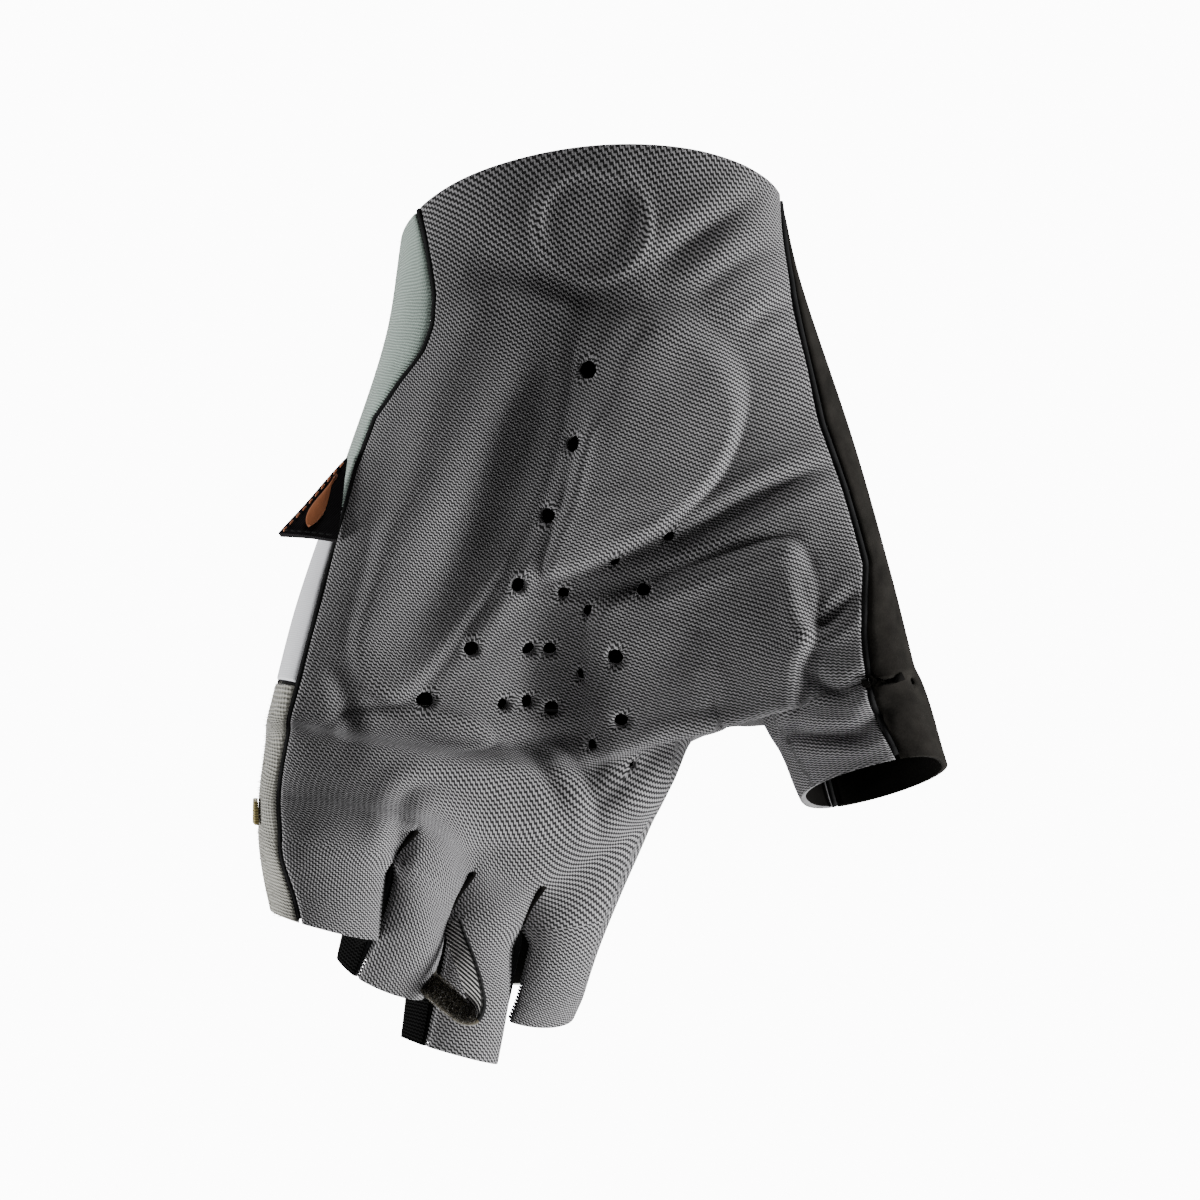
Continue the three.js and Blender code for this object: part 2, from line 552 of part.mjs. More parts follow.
// Joins and cuts
const wasm = await Module();
wasm.setup();

function toManifold(geometry) {
  const plain = geometry.clone();
  plain.deleteAttribute('normal');
  plain.deleteAttribute('uv');
  const merged = mergeVertices(plain, 1e-4);
  return new wasm.Manifold(new wasm.Mesh({
    numProp: 3,
    vertProperties: new Float32Array(merged.attributes.position.array),
    triVerts: new Uint32Array(merged.index.array),
  }));
}

function fromManifold(solid) {
  const mesh = solid.getMesh();
  const geometry = new THREE.BufferGeometry();
  geometry.setAttribute('position', new THREE.Float32BufferAttribute(mesh.vertProperties, 3));
  geometry.setIndex(Array.from(mesh.triVerts));
  return geometry;
}

// Round cutter along the line of sight through the front fabric at a place
function bore(hole, frontY) {
  const cutter = new THREE.CylinderGeometry(hole.bore / 2, hole.bore / 2, 14, BORE_SIDES);
  cutter.translate(hole.across * BREADTH, frontY, -hole.along * REACH);
  return toManifold(cutter);
}

// Height of the front fabric over a place in the front view
function frontHeight(across, along, digits = [...FINGERS, null]) {
  const [x, z] = [across * BREADTH, -along * REACH];
  let best = { miss: Infinity, y: 0 };
  for (const finger of digits) {
    for (const at of rowsBetween(0, CROTCH_AT, 1.5)) {
      for (let share = 0.02; share < 1; share += 0.04) {
        const point = skinPoint(finger, share, at, 'front');
        const miss = Math.hypot(point.x - x, point.z - z);
        if (miss < best.miss) best = { miss, y: point.y };
      }
    }
  }
  return best.y;
}

function cutBores(geometry, holes) {
  let solid = toManifold(geometry);
  for (const hole of holes) solid = solid.subtract(bore(hole, frontHeight(hole.across, hole.along)));
  return fromManifold(solid);
}

// Panels of the glove
const [little, ring, middle, index] = FINGERS;
const FRONT_COLUMNS = { little: 7, ring: 5, middle: 6, index: 7, thumb: 8 };
const BACK_COLUMNS = { little: 4, ring: 3, middle: 4, index: 4, thumb: 5 };
const WRAP_COLUMNS = 3;
const WALL_COLUMNS = 4;
const GUSSET_COLUMNS = 3;
const trunkRows = rowsThrough([0, 0.14, 0.31, 0.48, WEB_AT]);

function palmPanel() {
  const bodyRows = [...trunkRows, ...rowsBetween(WEB_AT, CROTCH_AT).slice(1)];
  const strips = FINGERS.map((finger) => {
    const rows = [...bodyRows, ...rowsBetween(CROTCH_AT, finger.end, 4.6).slice(1)];
    return frontStrip(finger, rows, FRONT_COLUMNS[finger.name]);
  });
  const thumbRows = rowsBetween(WEB_AT, THUMB_ROWS.at(-1).at);
  strips.push(frontStrip(null, [...trunkRows, ...thumbRows.slice(1)], FRONT_COLUMNS.thumb));
  const insets = { front: 0, back: WEB_INSET };
  const indexRows = [...rowsBetween(WEB_AT, CROTCH_AT), ...rowsBetween(CROTCH_AT, index.end, 4.6).slice(1)];
  strips.push(sideStrip(index, true, indexRows, WALL_COLUMNS, insets));
  const first = strips.at(-1)[0];
  strips.push(sideStrip(null, false, thumbRows, WALL_COLUMNS, insets, first));
  return cutBores(panel(strips), PERFORATIONS);
}

// Gusset between two fingers: one wall on each, joined along the crotch
function gusset(left, right) {
  const insets = { front: CROTCH_INSET, back: CROTCH_INSET };
  const drop = centre(left, 1, CROTCH_AT).sub(centre(left, 1, CROTCH_AT - 0.01)).setLength(CROTCH_DROP);
  const crotch = sideStrip(left, true, [CROTCH_AT], GUSSET_COLUMNS, insets)[0].map((point) => point.add(drop));
  const [one, other] = [[left, true], [right, false]].map(([finger, isRight]) => {
    const rows = rowsBetween(CROTCH_AT, finger.end, 5);
    return toManifold(panel([sideStrip(finger, isRight, rows, GUSSET_COLUMNS, insets, crotch)]));
  });
  return fromManifold(one.add(other));
}

function backPanel(rowsFor) {
  const strips = FINGERS.map((finger) => {
    return backStrip(finger, rowsFor(finger), BACK_COLUMNS[finger.name], finger.name === 'index');
  });
  strips.push(wrapStrip(little, rowsFor(little), WRAP_COLUMNS));
  return panel(strips);
}

function thumbBack() {
  const rows = [...trunkRows, ...rowsBetween(WEB_AT, THUMB_ROWS.at(-1).at).slice(1)];
  const strips = [wrapStrip(null, rows, WRAP_COLUMNS), backStrip(null, rows, BACK_COLUMNS.thumb)];
  return cutBores(panel(strips), [SUEDE_HOLE]);
}

// Corners of the side tab's middle plane, just clear of the fabric along its foot
function tabCorners() {
  const clear = WALL / 2 + TAB.gap + TAB.thick / 2;
  const [top, foot] = [TAB.top, TAB.foot].map(([across, along]) => {
    return new THREE.Vector3(across * BREADTH, frontHeight(across, along, [little]) - clear, -along * REACH);
  });
  const tip = new THREE.Vector3(TAB.tip[0] * BREADTH, (top.y + foot.y) / 2, -TAB.tip[1] * REACH);
  return { top, tip, foot };
}

function sideTab() {
  const { top, tip, foot } = tabCorners();
  return panel([[[top, top], [tip, foot]]], TAB.thick);
}

// Plain drop-shaped patch on the front of the side tab
function tabBadge() {
  const { top, tip, foot } = tabCorners();
  const outward = tip.clone().sub(top).cross(foot.clone().sub(top)).normalize();
  const lift = (TAB.thick + BADGE.thick) / 2 + BADGE.gap;
  const rows = Array.from({ length: BADGE.steps + 1 }, (unused, i) => {
    const share = i / BADGE.steps;
    const far = lerp(BADGE.from, BADGE.to, share);
    const half = BADGE.wide / 2 * Math.sin(Math.PI * share ** 1.5);
    return [-1, 1].map((side) => {
      const point = top.clone().lerp(tip.clone().lerp(foot, 0.46 + side * half), far);
      return point.addScaledVector(outward, lift);
    });
  });
  return panel([rows], BADGE.thick);
}

// Label folded over the outer edge of the little finger
function accentLabel() {
  const rows = [LABEL.at, LABEL.at + LABEL.tall / REACH];
  const offset = WALL / 2 + LABEL.gap + LABEL.thick / 2;
  const strip = rows.map((at) => {
    const outer = centre(little, 0, at);
    const away = outer.clone().sub(centre(little, 0.5, at)).normalize();
    return [1, 0.5, 0, -0.4].map((turn) => {
      const share = (turn * LABEL.deep / 2 / digitWidth(little, at)) ** 2 * 1.6;
      const point = skinPoint(little, share, at, turn < 0 ? 'front' : 'back');
      return point.addScaledVector(away, offset * 1.15);
    });
  });
  return panel([strip], LABEL.thick);
}

// Webbing loop that hangs from the crotch between ring and middle finger
function pullLoop() {
  const path = [[0.010, 0.836], [0.052, 0.890], [0.094, 0.938], [0.078, 0.955], [0.036, 0.934], [0.000, 0.905], [-0.014, 0.858]];
  const depth = -0.085;
  const curve = new THREE.CatmullRomCurve3(path.map(([across, along]) => place([across, along, depth])), true);
  const widthways = new THREE.Vector3(-0.40, -0.9, 0.05).setLength(LOOP.wide);
  const rings = Array.from({ length: LOOP.steps + 1 }, (unused, i) => {
    const at = curve.getPointAt((i % LOOP.steps) / LOOP.steps);
    return [at, at.clone().addScaledVector(widthways, 0.5), at.clone().add(widthways)];
  });
  return panel([rings], LOOP.thick);
}

const PIECES = [
  { name: 'palm_panel', finish: 'palm', geometry: palmPanel() },
  { name: 'cuff_back', finish: 'sage', geometry: backPanel(() => rowsBetween(0, CUFF_BACK_END - SEAM_GAP / REACH, 5)) },
  { name: 'hand_back', finish: 'white', geometry: backPanel(() => rowsBetween(CUFF_BACK_END, HAND_BACK_END - SEAM_GAP / REACH, 5)) },
  { name: 'finger_back', finish: 'cream',
    geometry: backPanel((finger) => rowsThrough([HAND_BACK_END, WEB_AT, CROTCH_AT, finger.end])) },
  { name: 'thumb_back', finish: 'suede', geometry: thumbBack() },
  { name: 'gusset_little_ring', finish: 'gusset', geometry: gusset(little, ring) },
  { name: 'gusset_ring_middle', finish: 'gusset', geometry: gusset(ring, middle) },
  { name: 'gusset_middle_index', finish: 'gusset', geometry: gusset(middle, index) },
  { name: 'pull_loop', finish: 'twill', geometry: pullLoop() },
  { name: 'side_tab', finish: 'tab', geometry: sideTab() },
  { name: 'tab_badge', finish: 'orange', geometry: tabBadge() },
  { name: 'accent_label', finish: 'ochre', geometry: accentLabel() },
];

const group = new THREE.Group();
group.name = 'mountain_bike_glove';
for (const { name, finish, geometry } of PIECES) {
  const material = new THREE.MeshStandardMaterial(FINISHES[finish]);
  material.name = `${name}_${finish}`;
  const mesh = new THREE.Mesh(geometry, material);
  mesh.name = name;
  group.add(mesh);
}

export default group;
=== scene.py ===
"""Visual model of a short-finger mountain bike glove for a left hand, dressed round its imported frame.

The glove keeps its worn form. X runs across the hand towards the thumb, -Y is the palm side and +Z
points up to the cuff. The sizes of the form are in millimetres and the finished meshes in metres.
"""

import logging
import math
from dataclasses import dataclass
from enum import Enum
from typing import Callable

import bmesh
import bpy
import numpy as np
from mathutils import Matrix, Vector

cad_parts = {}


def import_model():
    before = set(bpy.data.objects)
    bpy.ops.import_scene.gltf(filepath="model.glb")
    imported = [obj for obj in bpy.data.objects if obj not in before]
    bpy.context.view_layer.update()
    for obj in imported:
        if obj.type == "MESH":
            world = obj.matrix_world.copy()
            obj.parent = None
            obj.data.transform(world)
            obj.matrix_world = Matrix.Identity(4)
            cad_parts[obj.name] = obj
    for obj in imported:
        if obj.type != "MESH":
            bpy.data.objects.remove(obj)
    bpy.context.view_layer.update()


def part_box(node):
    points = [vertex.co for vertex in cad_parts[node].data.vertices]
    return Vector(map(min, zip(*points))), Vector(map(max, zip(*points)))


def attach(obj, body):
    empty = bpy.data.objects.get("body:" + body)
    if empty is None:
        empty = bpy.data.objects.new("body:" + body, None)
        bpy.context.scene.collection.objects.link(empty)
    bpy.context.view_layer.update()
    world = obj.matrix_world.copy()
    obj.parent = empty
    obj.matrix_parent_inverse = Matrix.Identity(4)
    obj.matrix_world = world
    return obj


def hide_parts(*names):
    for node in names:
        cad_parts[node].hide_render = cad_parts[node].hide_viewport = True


LOG = logging.getLogger("glove")
MM = 0.001
Array = np.ndarray

# Driving sizes in millimetres
REACH = 152.0
BREADTH = 84.0
DEPTH = 40.0
HEEL_RISE = 14.3
HEEL_FULLNESS = 1.35
WALL = 1.2
SEAM_GAP = 0.45
CROTCH_DROP = 1.35
CROTCH_INSET = 1.15
WEB_INSET = 2.5

# Where the hand divides, as shares of the reach or of the breadth
WEB_AT = 0.59
CROTCH_AT = 0.80
THUMB_SHARE = 0.71
WEB_RUN = 0.05
CROTCH_RUN = 0.03
ROUNDNESS = 0.78
TRUNK_TURN = 0.35
BODY_TURN = 0.60
WEB_TURN_RUN = 0.12
TURN_RUN = 0.10
VALLEY_RUN = 0.075
CUFF_BACK_END = 0.36
HAND_BACK_END = 0.565

# Centre surface, as [across, along, depth] shares
TRUNK_AT = np.array([0.00, 0.14, 0.31, 0.48, WEB_AT])
TRUNK_LITTLE = [[-0.388, 0.050, -0.050], [-0.383, 0.174, -0.125], [-0.422, 0.333, -0.225],
                [-0.467, 0.499, -0.325], [-0.484, 0.621, -0.400]]
TRUNK_MIDDLE = [[0.000, 0.000, 0.000], [0.044, 0.139, 0.025], [0.085, 0.314, 0.075],
                [0.128, 0.483, 0.100], [0.188, 0.590, 0.120]]
TRUNK_THUMB = [[0.390, -0.050, 0.000], [0.463, 0.037, 0.000], [0.621, 0.200, -0.075],
               [0.745, 0.344, -0.200], [0.819, 0.438, -0.300]]
BODY_SHARES = np.array([0.0, 0.28, 0.48, 0.71, 1.0])
BODY_AT = np.array([0.66, 0.74, CROTCH_AT])
BODY_EDGES = [
    [[-0.481, 0.660, -0.430], [-0.206, 0.668, -0.250], [-0.028, 0.671, -0.030], [0.173, 0.657, 0.120],
     [0.398, 0.570, 0.150]],
    [[-0.475, 0.722, -0.490], [-0.185, 0.713, -0.320], [-0.067, 0.752, 0.020], [0.108, 0.757, 0.210],
     [0.345, 0.658, 0.280]],
    [[-0.461, 0.766, -0.560], [-0.203, 0.765, -0.350], [-0.078, 0.816, 0.060], [0.092, 0.820, 0.290],
     [0.289, 0.791, 0.420]],
]
DEPTH_AT = np.array([0.00, 0.14, 0.31, 0.48, 0.59, 0.74, 0.80])
HALF_DEPTHS = {"front": np.array([17.0, 20.0, 20.5, 18.5, 15.0, 11.8, 9.4]),
               "back": np.array([16.0, 18.0, 17.0, 15.5, 13.5, 11.2, 9.2])}
SIDE_ANGLES = {"finger": 25.0, "index_web": 40.0, "thumb_web": 45.0, "body_web": 40.0}
LITTLE_WRAP = ([0.00, 0.05, 0.09, 0.12, 0.15, 0.19, 0.24, 0.31, 0.37, 0.50, 0.95],
               [0.020, 0.050, 0.072, 0.077, 0.068, 0.040, 0.016, 0.012, 0.018, 0.028, 0.028])
THUMB_WRAP = ([0.00, 0.12, 0.28, 0.36, 0.46, 0.54, 0.62, 0.76],
              [0.006, 0.012, 0.034, 0.028, 0.026, 0.056, 0.072, 0.076])

# Perforations of the palm fabric: across, along, bore in millimetres
PERFORATIONS = [
    (0.043, 0.169, 3.2), (0.041, 0.257, 3.0), (0.016, 0.348, 2.7), (-0.022, 0.430, 2.7), (-0.093, 0.514, 2.7),
    (-0.178, 0.584, 3.1), (0.018, 0.502, 2.4), (0.069, 0.499, 2.4), (-0.014, 0.570, 2.2), (0.038, 0.564, 2.2),
    (0.094, 0.566, 2.6), (0.242, 0.413, 2.8), (0.135, 0.444, 2.3), (0.073, 0.431, 2.0), (0.271, 0.342, 2.4),
    (0.171, 0.382, 2.0), (0.212, 0.495, 2.8), (0.241, 0.567, 2.4), (0.282, 0.614, 1.6), (0.146, 0.519, 2.2),
    (0.194, 0.600, 2.0),
]
SUEDE_HOLE = (0.831, 0.461, 1.7)

# Least and greatest radius of a frayed rim, as shares of the bore's radius
FRAY = (0.96, 1.10)

# Turn of the palm cloth's rows against the line across the hand, in degrees
PALM_GRAIN = 28.0

# Rows over which the width of a weave is eased
EASE_ROWS = 31

# Opening of the slits between the fingers on the palm side: digit, right edge or left, in millimetres
SLITS = {("little", True): 0.5, ("ring", False): 0.5, ("ring", True): 0.5, ("middle", False): 0.5,
         ("middle", True): 1.6, ("index", False): 1.7}


class Side(Enum):
    """The two faces of the hand."""

    FRONT = "front"
    BACK = "back"


@dataclass(frozen=True)
class Digit:
    """One stall of the glove; border is its place in the four-finger body, or None for the thumb."""

    name: str
    border: int | None
    end: float
    left: tuple[float, float, float]
    right: tuple[float, float, float]
    front: float
    back: float
    lip: float


LITTLE = Digit("little", 0, 0.92, (-0.400, 0.857, -0.630), (-0.196, 0.864, -0.395), 7.0, 6.0, 2.2)
RING = Digit("ring", 1, 0.94, (-0.244, 0.906, -0.160), (-0.087, 0.920, 0.070), 6.6, 6.8, 0.8)
MIDDLE = Digit("middle", 2, 0.96, (-0.080, 0.981, 0.100), (0.088, 0.990, 0.330), 7.4, 7.2, 0.6)
INDEX = Digit("index", 3, 0.94, (0.074, 0.929, 0.420), (0.232, 0.911, 0.640), 7.3, 7.1, 0.0)
THUMB_NECK = Digit("neck", None, 0.65, (0.557, 0.541, -0.020), (0.843, 0.462, -0.290), 12.0, 10.8, 0.0)
THUMB = Digit("thumb", None, 0.76, (0.659, 0.624, -0.110), (0.928, 0.549, -0.290), 10.2, 9.8, -2.6)
FINGERS = (LITTLE, RING, MIDDLE, INDEX)


def lerp(a: Array, b: Array, share: Array) -> Array:
    """Blend two values by a share."""
    return a + (b - a) * share


def clamp(value: Array, low: float = 0.0, high: float = 1.0) -> Array:
    """Keep a value between two limits."""
    return np.clip(value, low, high)


def smooth(value: Array) -> Array:
    """Ease a value from 0 to 1."""
    value = clamp(value)
    return value * value * (3 - 2 * value)


def side_share(degrees: float) -> float:
    """Share of a closed cross-section that lies beyond a seam on its side wall."""
    return (1 - math.cos(math.radians(degrees))) / 2


def round_profile(share: Array) -> Array:
    """Half depth of a rounded cross-section at a share of its width."""
    share = clamp(share)
    return (2 * np.sqrt(share * (1 - share))) ** ROUNDNESS


def place(shares: object) -> Array:
    """Turn [across, along, depth] shares into millimetres."""
    return np.asarray(shares, float)[..., [0, 2, 1]] * np.array([BREADTH, DEPTH, -REACH])


def unit(vectors: Array) -> Array:
    """Scale vectors to length one."""
    return vectors / np.maximum(np.linalg.norm(vectors, axis=-1, keepdims=True), 1e-9)


def direction(start: Array, end: Array, turn: float = 1.0) -> Array:
    """Unit direction between two points with its slope towards the back scaled."""
    return unit((end - start) * np.array([1.0, turn, 1.0]))


def through_stations(stations: Array, points: Array, at: Array, first: Array | None = None) -> Array:
    """Follow a smooth curve through points at uneven stations.

    Args:
        stations: Growing station values.
        points: One point for each station and each place, as (stations, places, 3).
        at: The station wanted at each place.
        first: Slope at the first station.

    Returns:
        One point for each place.
    """
    last = len(stations) - 1
    low = np.maximum(np.arange(last + 1) - 1, 0)
    high = np.minimum(np.arange(last + 1) + 1, last)
    slopes = (points[high] - points[low]) / (stations[high] - stations[low])[:, None, None]
    if first is not None:
        slopes[0] = first
    i = clamp(np.searchsorted(stations, at, side="left") - 1, 0, last - 1)
    n = np.arange(len(at))
    span = (stations[i + 1] - stations[i])[:, None]
    s = ((at - stations[i]) / span[:, 0])[:, None]
    return (points[i, n] * (2 * s**3 - 3 * s**2 + 1) + slopes[i, n] * (s**3 - 2 * s**2 + s) * span
            + points[i + 1, n] * (3 * s**2 - 2 * s**3) + slopes[i + 1, n] * (s**3 - s**2) * span)


@dataclass
class Pad:
    """A raised cushion of the palm, given by its outline in the front view."""

    outline: list[tuple[float, float]]
    height: float
    edge: float
    soft_edge: float
    soft_towards: float
    dome: float = 0.0


@dataclass
class Fold:
    """A crease or ridge of the palm fabric along a line in the front view."""

    line: list[tuple[float, float]]
    depth: float
    half: float
    shoulder: float = 0.35


def curve_through(points: Array, closed: bool, steps: int) -> Array:
    """Run a smooth curve through points.

    Args:
        points: The points, as (count, 2) or (count, 3).
        closed: Whether the curve returns to its start.
        steps: Steps between two points.

    Returns:
        The points of the curve.
    """
    count = len(points)
    spans = count if closed else count - 1
    out = []
    for i in range(spans):
        ids = [(i + k) % count if closed else min(max(i + k, 0), count - 1) for k in (-1, 0, 1, 2)]
        a, b, c, d = (points[j] for j in ids)
        for s in np.linspace(0, 1, steps, endpoint=False):
            out.append(0.5 * (2 * b + (c - a) * s + (2 * a - 5 * b + 4 * c - d) * s * s
                              + (3 * b - a - 3 * c + d) * s**3))
    if not closed:
        out.append(points[-1])
    return np.array(out)


def line_distance(line: Array, x: Array, z: Array) -> tuple[Array, Array]:
    """Measure places against a line.

    Args:
        line: Points of the line, as (count, 2).
        x: Places across.
        z: Places up.

    Returns:
        The distance to the line and the share along it.
    """
    a, b = line[:-1], line[1:]
    step = b - a
    length = np.maximum((step**2).sum(1), 1e-9)
    dx, dz = x[:, None] - a[:, 0], z[:, None] - a[:, 1]
    share = clamp((dx * step[:, 0] + dz * step[:, 1]) / length)
    distance = np.hypot(dx - share * step[:, 0], dz - share * step[:, 1])
    best = distance.argmin(1)
    n = np.arange(len(x))
    return distance[n, best], (best + share[n, best]) / len(a)


@dataclass
class Ring:
    """A plain round welt pressed into the palm fabric."""

    centre: tuple[float, float]
    radius: float
    height: float
    half: float


@dataclass
class PalmRelief:
    """Pads, creases and slack of the palm fabric."""

    PAD_SPREAD = 0.3
    DOME_RUN = 6.0
    WAVES = ((0.31, 0.12, 0.3, 0.10), (0.10, 0.27, 1.9, 0.10), (-0.22, 0.36, 4.1, 0.07),
             (0.52, -0.18, 2.2, 0.05))

    pads: list[Pad]
    folds: list[Fold]
    rings: list[Ring]

    def height(self, x: Array, z: Array) -> Array:
        """Rise of the fabric at places of the front view.

        Args:
            x: Places across in millimetres.
            z: Places up in millimetres.

        Returns:
            The rise in millimetres.
        """
        rise = np.zeros_like(x)
        scale = np.array([BREADTH, -REACH])
        for pad in self.pads:
            outline = curve_through(np.array(pad.outline) * scale, True, 7)
            closed = np.vstack([outline, outline[:1]])
            distance = line_distance(closed, x, z)[0]
            a, b = closed[:-1], closed[1:]
            crosses = (a[:, 1] > z[:, None]) != (b[:, 1] > z[:, None])
            run = np.where(np.abs(b[:, 1] - a[:, 1]) < 1e-9, 1e-9, b[:, 1] - a[:, 1])
            hit = a[:, 0] + (z[:, None] - a[:, 1]) * (b[:, 0] - a[:, 0]) / run
            inside = (crosses & (x[:, None] < hit)).sum(1) % 2 == 1
            depth = np.where(inside, distance, -distance)
            centre = outline.mean(0)
            towards = np.arctan2(z - centre[1], x - centre[0]) - math.radians(pad.soft_towards)
            edge = lerp(pad.edge, pad.soft_edge, smooth((np.cos(towards) - 0.1) / 0.8))
            rise += pad.height * smooth((depth + self.PAD_SPREAD * edge) / edge)
            if pad.dome:
                rise += pad.dome * (1 - np.exp(-np.maximum(depth, 0) / self.DOME_RUN))
        for fold in self.folds:
            line = curve_through(np.array(fold.line) * scale, False, 8)
            distance, share = line_distance(line, x, z)
            ends = np.sin(np.pi * lerp(0.06, 0.94, share))
            valley = np.exp(-((distance / fold.half) ** 2))
            shoulder = np.exp(-(((distance - 2.0 * fold.half) / fold.half) ** 2))
            rise -= fold.depth * ends * (valley - fold.shoulder * shoulder)
        for ring in self.rings:
            off = np.hypot(x - ring.centre[0] * BREADTH, z + ring.centre[1] * REACH) - ring.radius
            rise += ring.height * (np.exp(-((off / ring.half) ** 2)) - 0.6 * smooth(-off / 3.0))
        return rise

    @staticmethod
    def slack(x: Array, z: Array) -> Array:
        """Small uneven slack of the worn cloth in millimetres."""
        bend = 0.8 * np.sin(0.11 * z - 0.07 * x)
        return sum(size * np.sin(a * x + b * z + c + bend) for a, b, c, size in PalmRelief.WAVES)


RELIEF = PalmRelief(
    pads=[
        Pad([(0.031, 0.416), (0.032, 0.373), (0.047, 0.323), (0.051, 0.263), (0.060, 0.203), (0.075, 0.142),
             (0.134, 0.095), (0.207, 0.088), (0.292, 0.104), (0.357, 0.138), (0.380, 0.178), (0.376, 0.226),
             (0.346, 0.275), (0.282, 0.322), (0.203, 0.366), (0.121, 0.395)], 2.3, 2.2, 6.5, 100.0, 1.1),
        Pad([(-0.040, 0.093), (0.004, 0.149), (0.017, 0.231), (0.005, 0.316), (-0.038, 0.403),
             (-0.108, 0.488), (-0.182, 0.561), (-0.244, 0.590), (-0.313, 0.576), (-0.350, 0.529),
             (-0.337, 0.432), (-0.329, 0.324), (-0.303, 0.214), (-0.228, 0.112)], 1.3, 3.0, 7.0, 130.0, 0.7),
        Pad([(0.144, 0.481), (0.156, 0.435), (0.233, 0.408), (0.349, 0.366), (0.449, 0.338), (0.532, 0.328),
             (0.589, 0.360), (0.614, 0.417), (0.599, 0.470), (0.601, 0.544), (0.520, 0.620), (0.413, 0.660),
             (0.323, 0.680), (0.253, 0.660), (0.200, 0.601), (0.159, 0.539)], 2.1, 2.4, 5.0, 270.0, 0.8),
        Pad([(-0.360, 0.647), (-0.336, 0.618), (-0.225, 0.596), (-0.075, 0.593), (-0.018, 0.621),
             (-0.123, 0.645), (-0.247, 0.662)], 0.9, 1.8, 4.0, 270.0, 0.2),
    ],
    folds=[
        Fold([(-0.069, 0.084), (-0.056, 0.178), (-0.076, 0.276), (-0.127, 0.376), (-0.195, 0.472),
              (-0.265, 0.551)], 4.0, 6.6, 0.10),
        Fold([(0.052, 0.138), (0.049, 0.222), (0.035, 0.307), (-0.004, 0.395), (-0.072, 0.481),
              (-0.158, 0.561)], -1.8, 2.6, 0.0),
        Fold([(0.385, 0.445), (0.399, 0.480), (0.412, 0.503), (0.428, 0.530)], -1.9, 3.2, 0.0),
        Fold([(-0.242, 0.068), (-0.085, 0.088), (0.132, 0.091)], 1.5, 5.0, 0.0),
        Fold([(0.137, 0.390), (0.260, 0.356), (0.338, 0.331), (0.470, 0.270), (0.602, 0.224)], 1.7, 1.7),
        Fold([(0.235, 0.413), (0.352, 0.372), (0.529, 0.319)], 1.2, 1.5),
        Fold([(0.559, 0.345), (0.606, 0.412), (0.657, 0.398), (0.691, 0.368)], 1.7, 1.5),
        Fold([(0.556, 0.539), (0.656, 0.548), (0.750, 0.539), (0.789, 0.492)], 1.5, 1.7),
        Fold([(0.599, 0.470), (0.690, 0.487), (0.766, 0.454)], 1.1, 1.5),
        Fold([(0.138, 0.043), (0.230, -0.009), (0.342, -0.078)], 1.0, 2.1),
        Fold([(0.349, 0.094), (0.404, 0.064), (0.475, 0.041)], 0.8, 1.7),
        Fold([(0.232, 0.067), (0.323, 0.013), (0.430, -0.024)], 0.6, 1.8),
        Fold([(0.293, 0.595), (0.394, 0.574), (0.509, 0.560)], 0.9, 1.6),
        Fold([(0.229, 0.664), (0.299, 0.615), (0.366, 0.581)], 0.8, 1.5),
        Fold([(0.123, 0.602), (0.204, 0.654), (0.245, 0.716)], 0.9, 1.6),
        Fold([(0.008, 0.616), (0.092, 0.641), (0.151, 0.678)], 0.8, 1.5),
        Fold([(-0.196, 0.719), (-0.169, 0.690), (-0.112, 0.679), (-0.023, 0.688)], 1.0, 1.8),
        Fold([(-0.084, 0.766), (0.036, 0.736), (0.164, 0.732)], 0.9, 2.2),
        Fold([(-0.392, 0.545), (-0.342, 0.600), (-0.309, 0.656)], 0.8, 1.8),
        Fold([(-0.310, 0.597), (-0.151, 0.623), (0.040, 0.613), (0.203, 0.583)], 0.7, 1.9),
        Fold([(-0.181, 0.718), (-0.183, 0.752), (-0.198, 0.779)], 1.2, 1.8),
        Fold([(0.070, 0.440), (0.075, 0.540), (0.090, 0.640)], 3.4, 9.0, 0.0),
    ],
    rings=[Ring((0.0, 0.0), 9.8, 0.55, 0.9)],
)


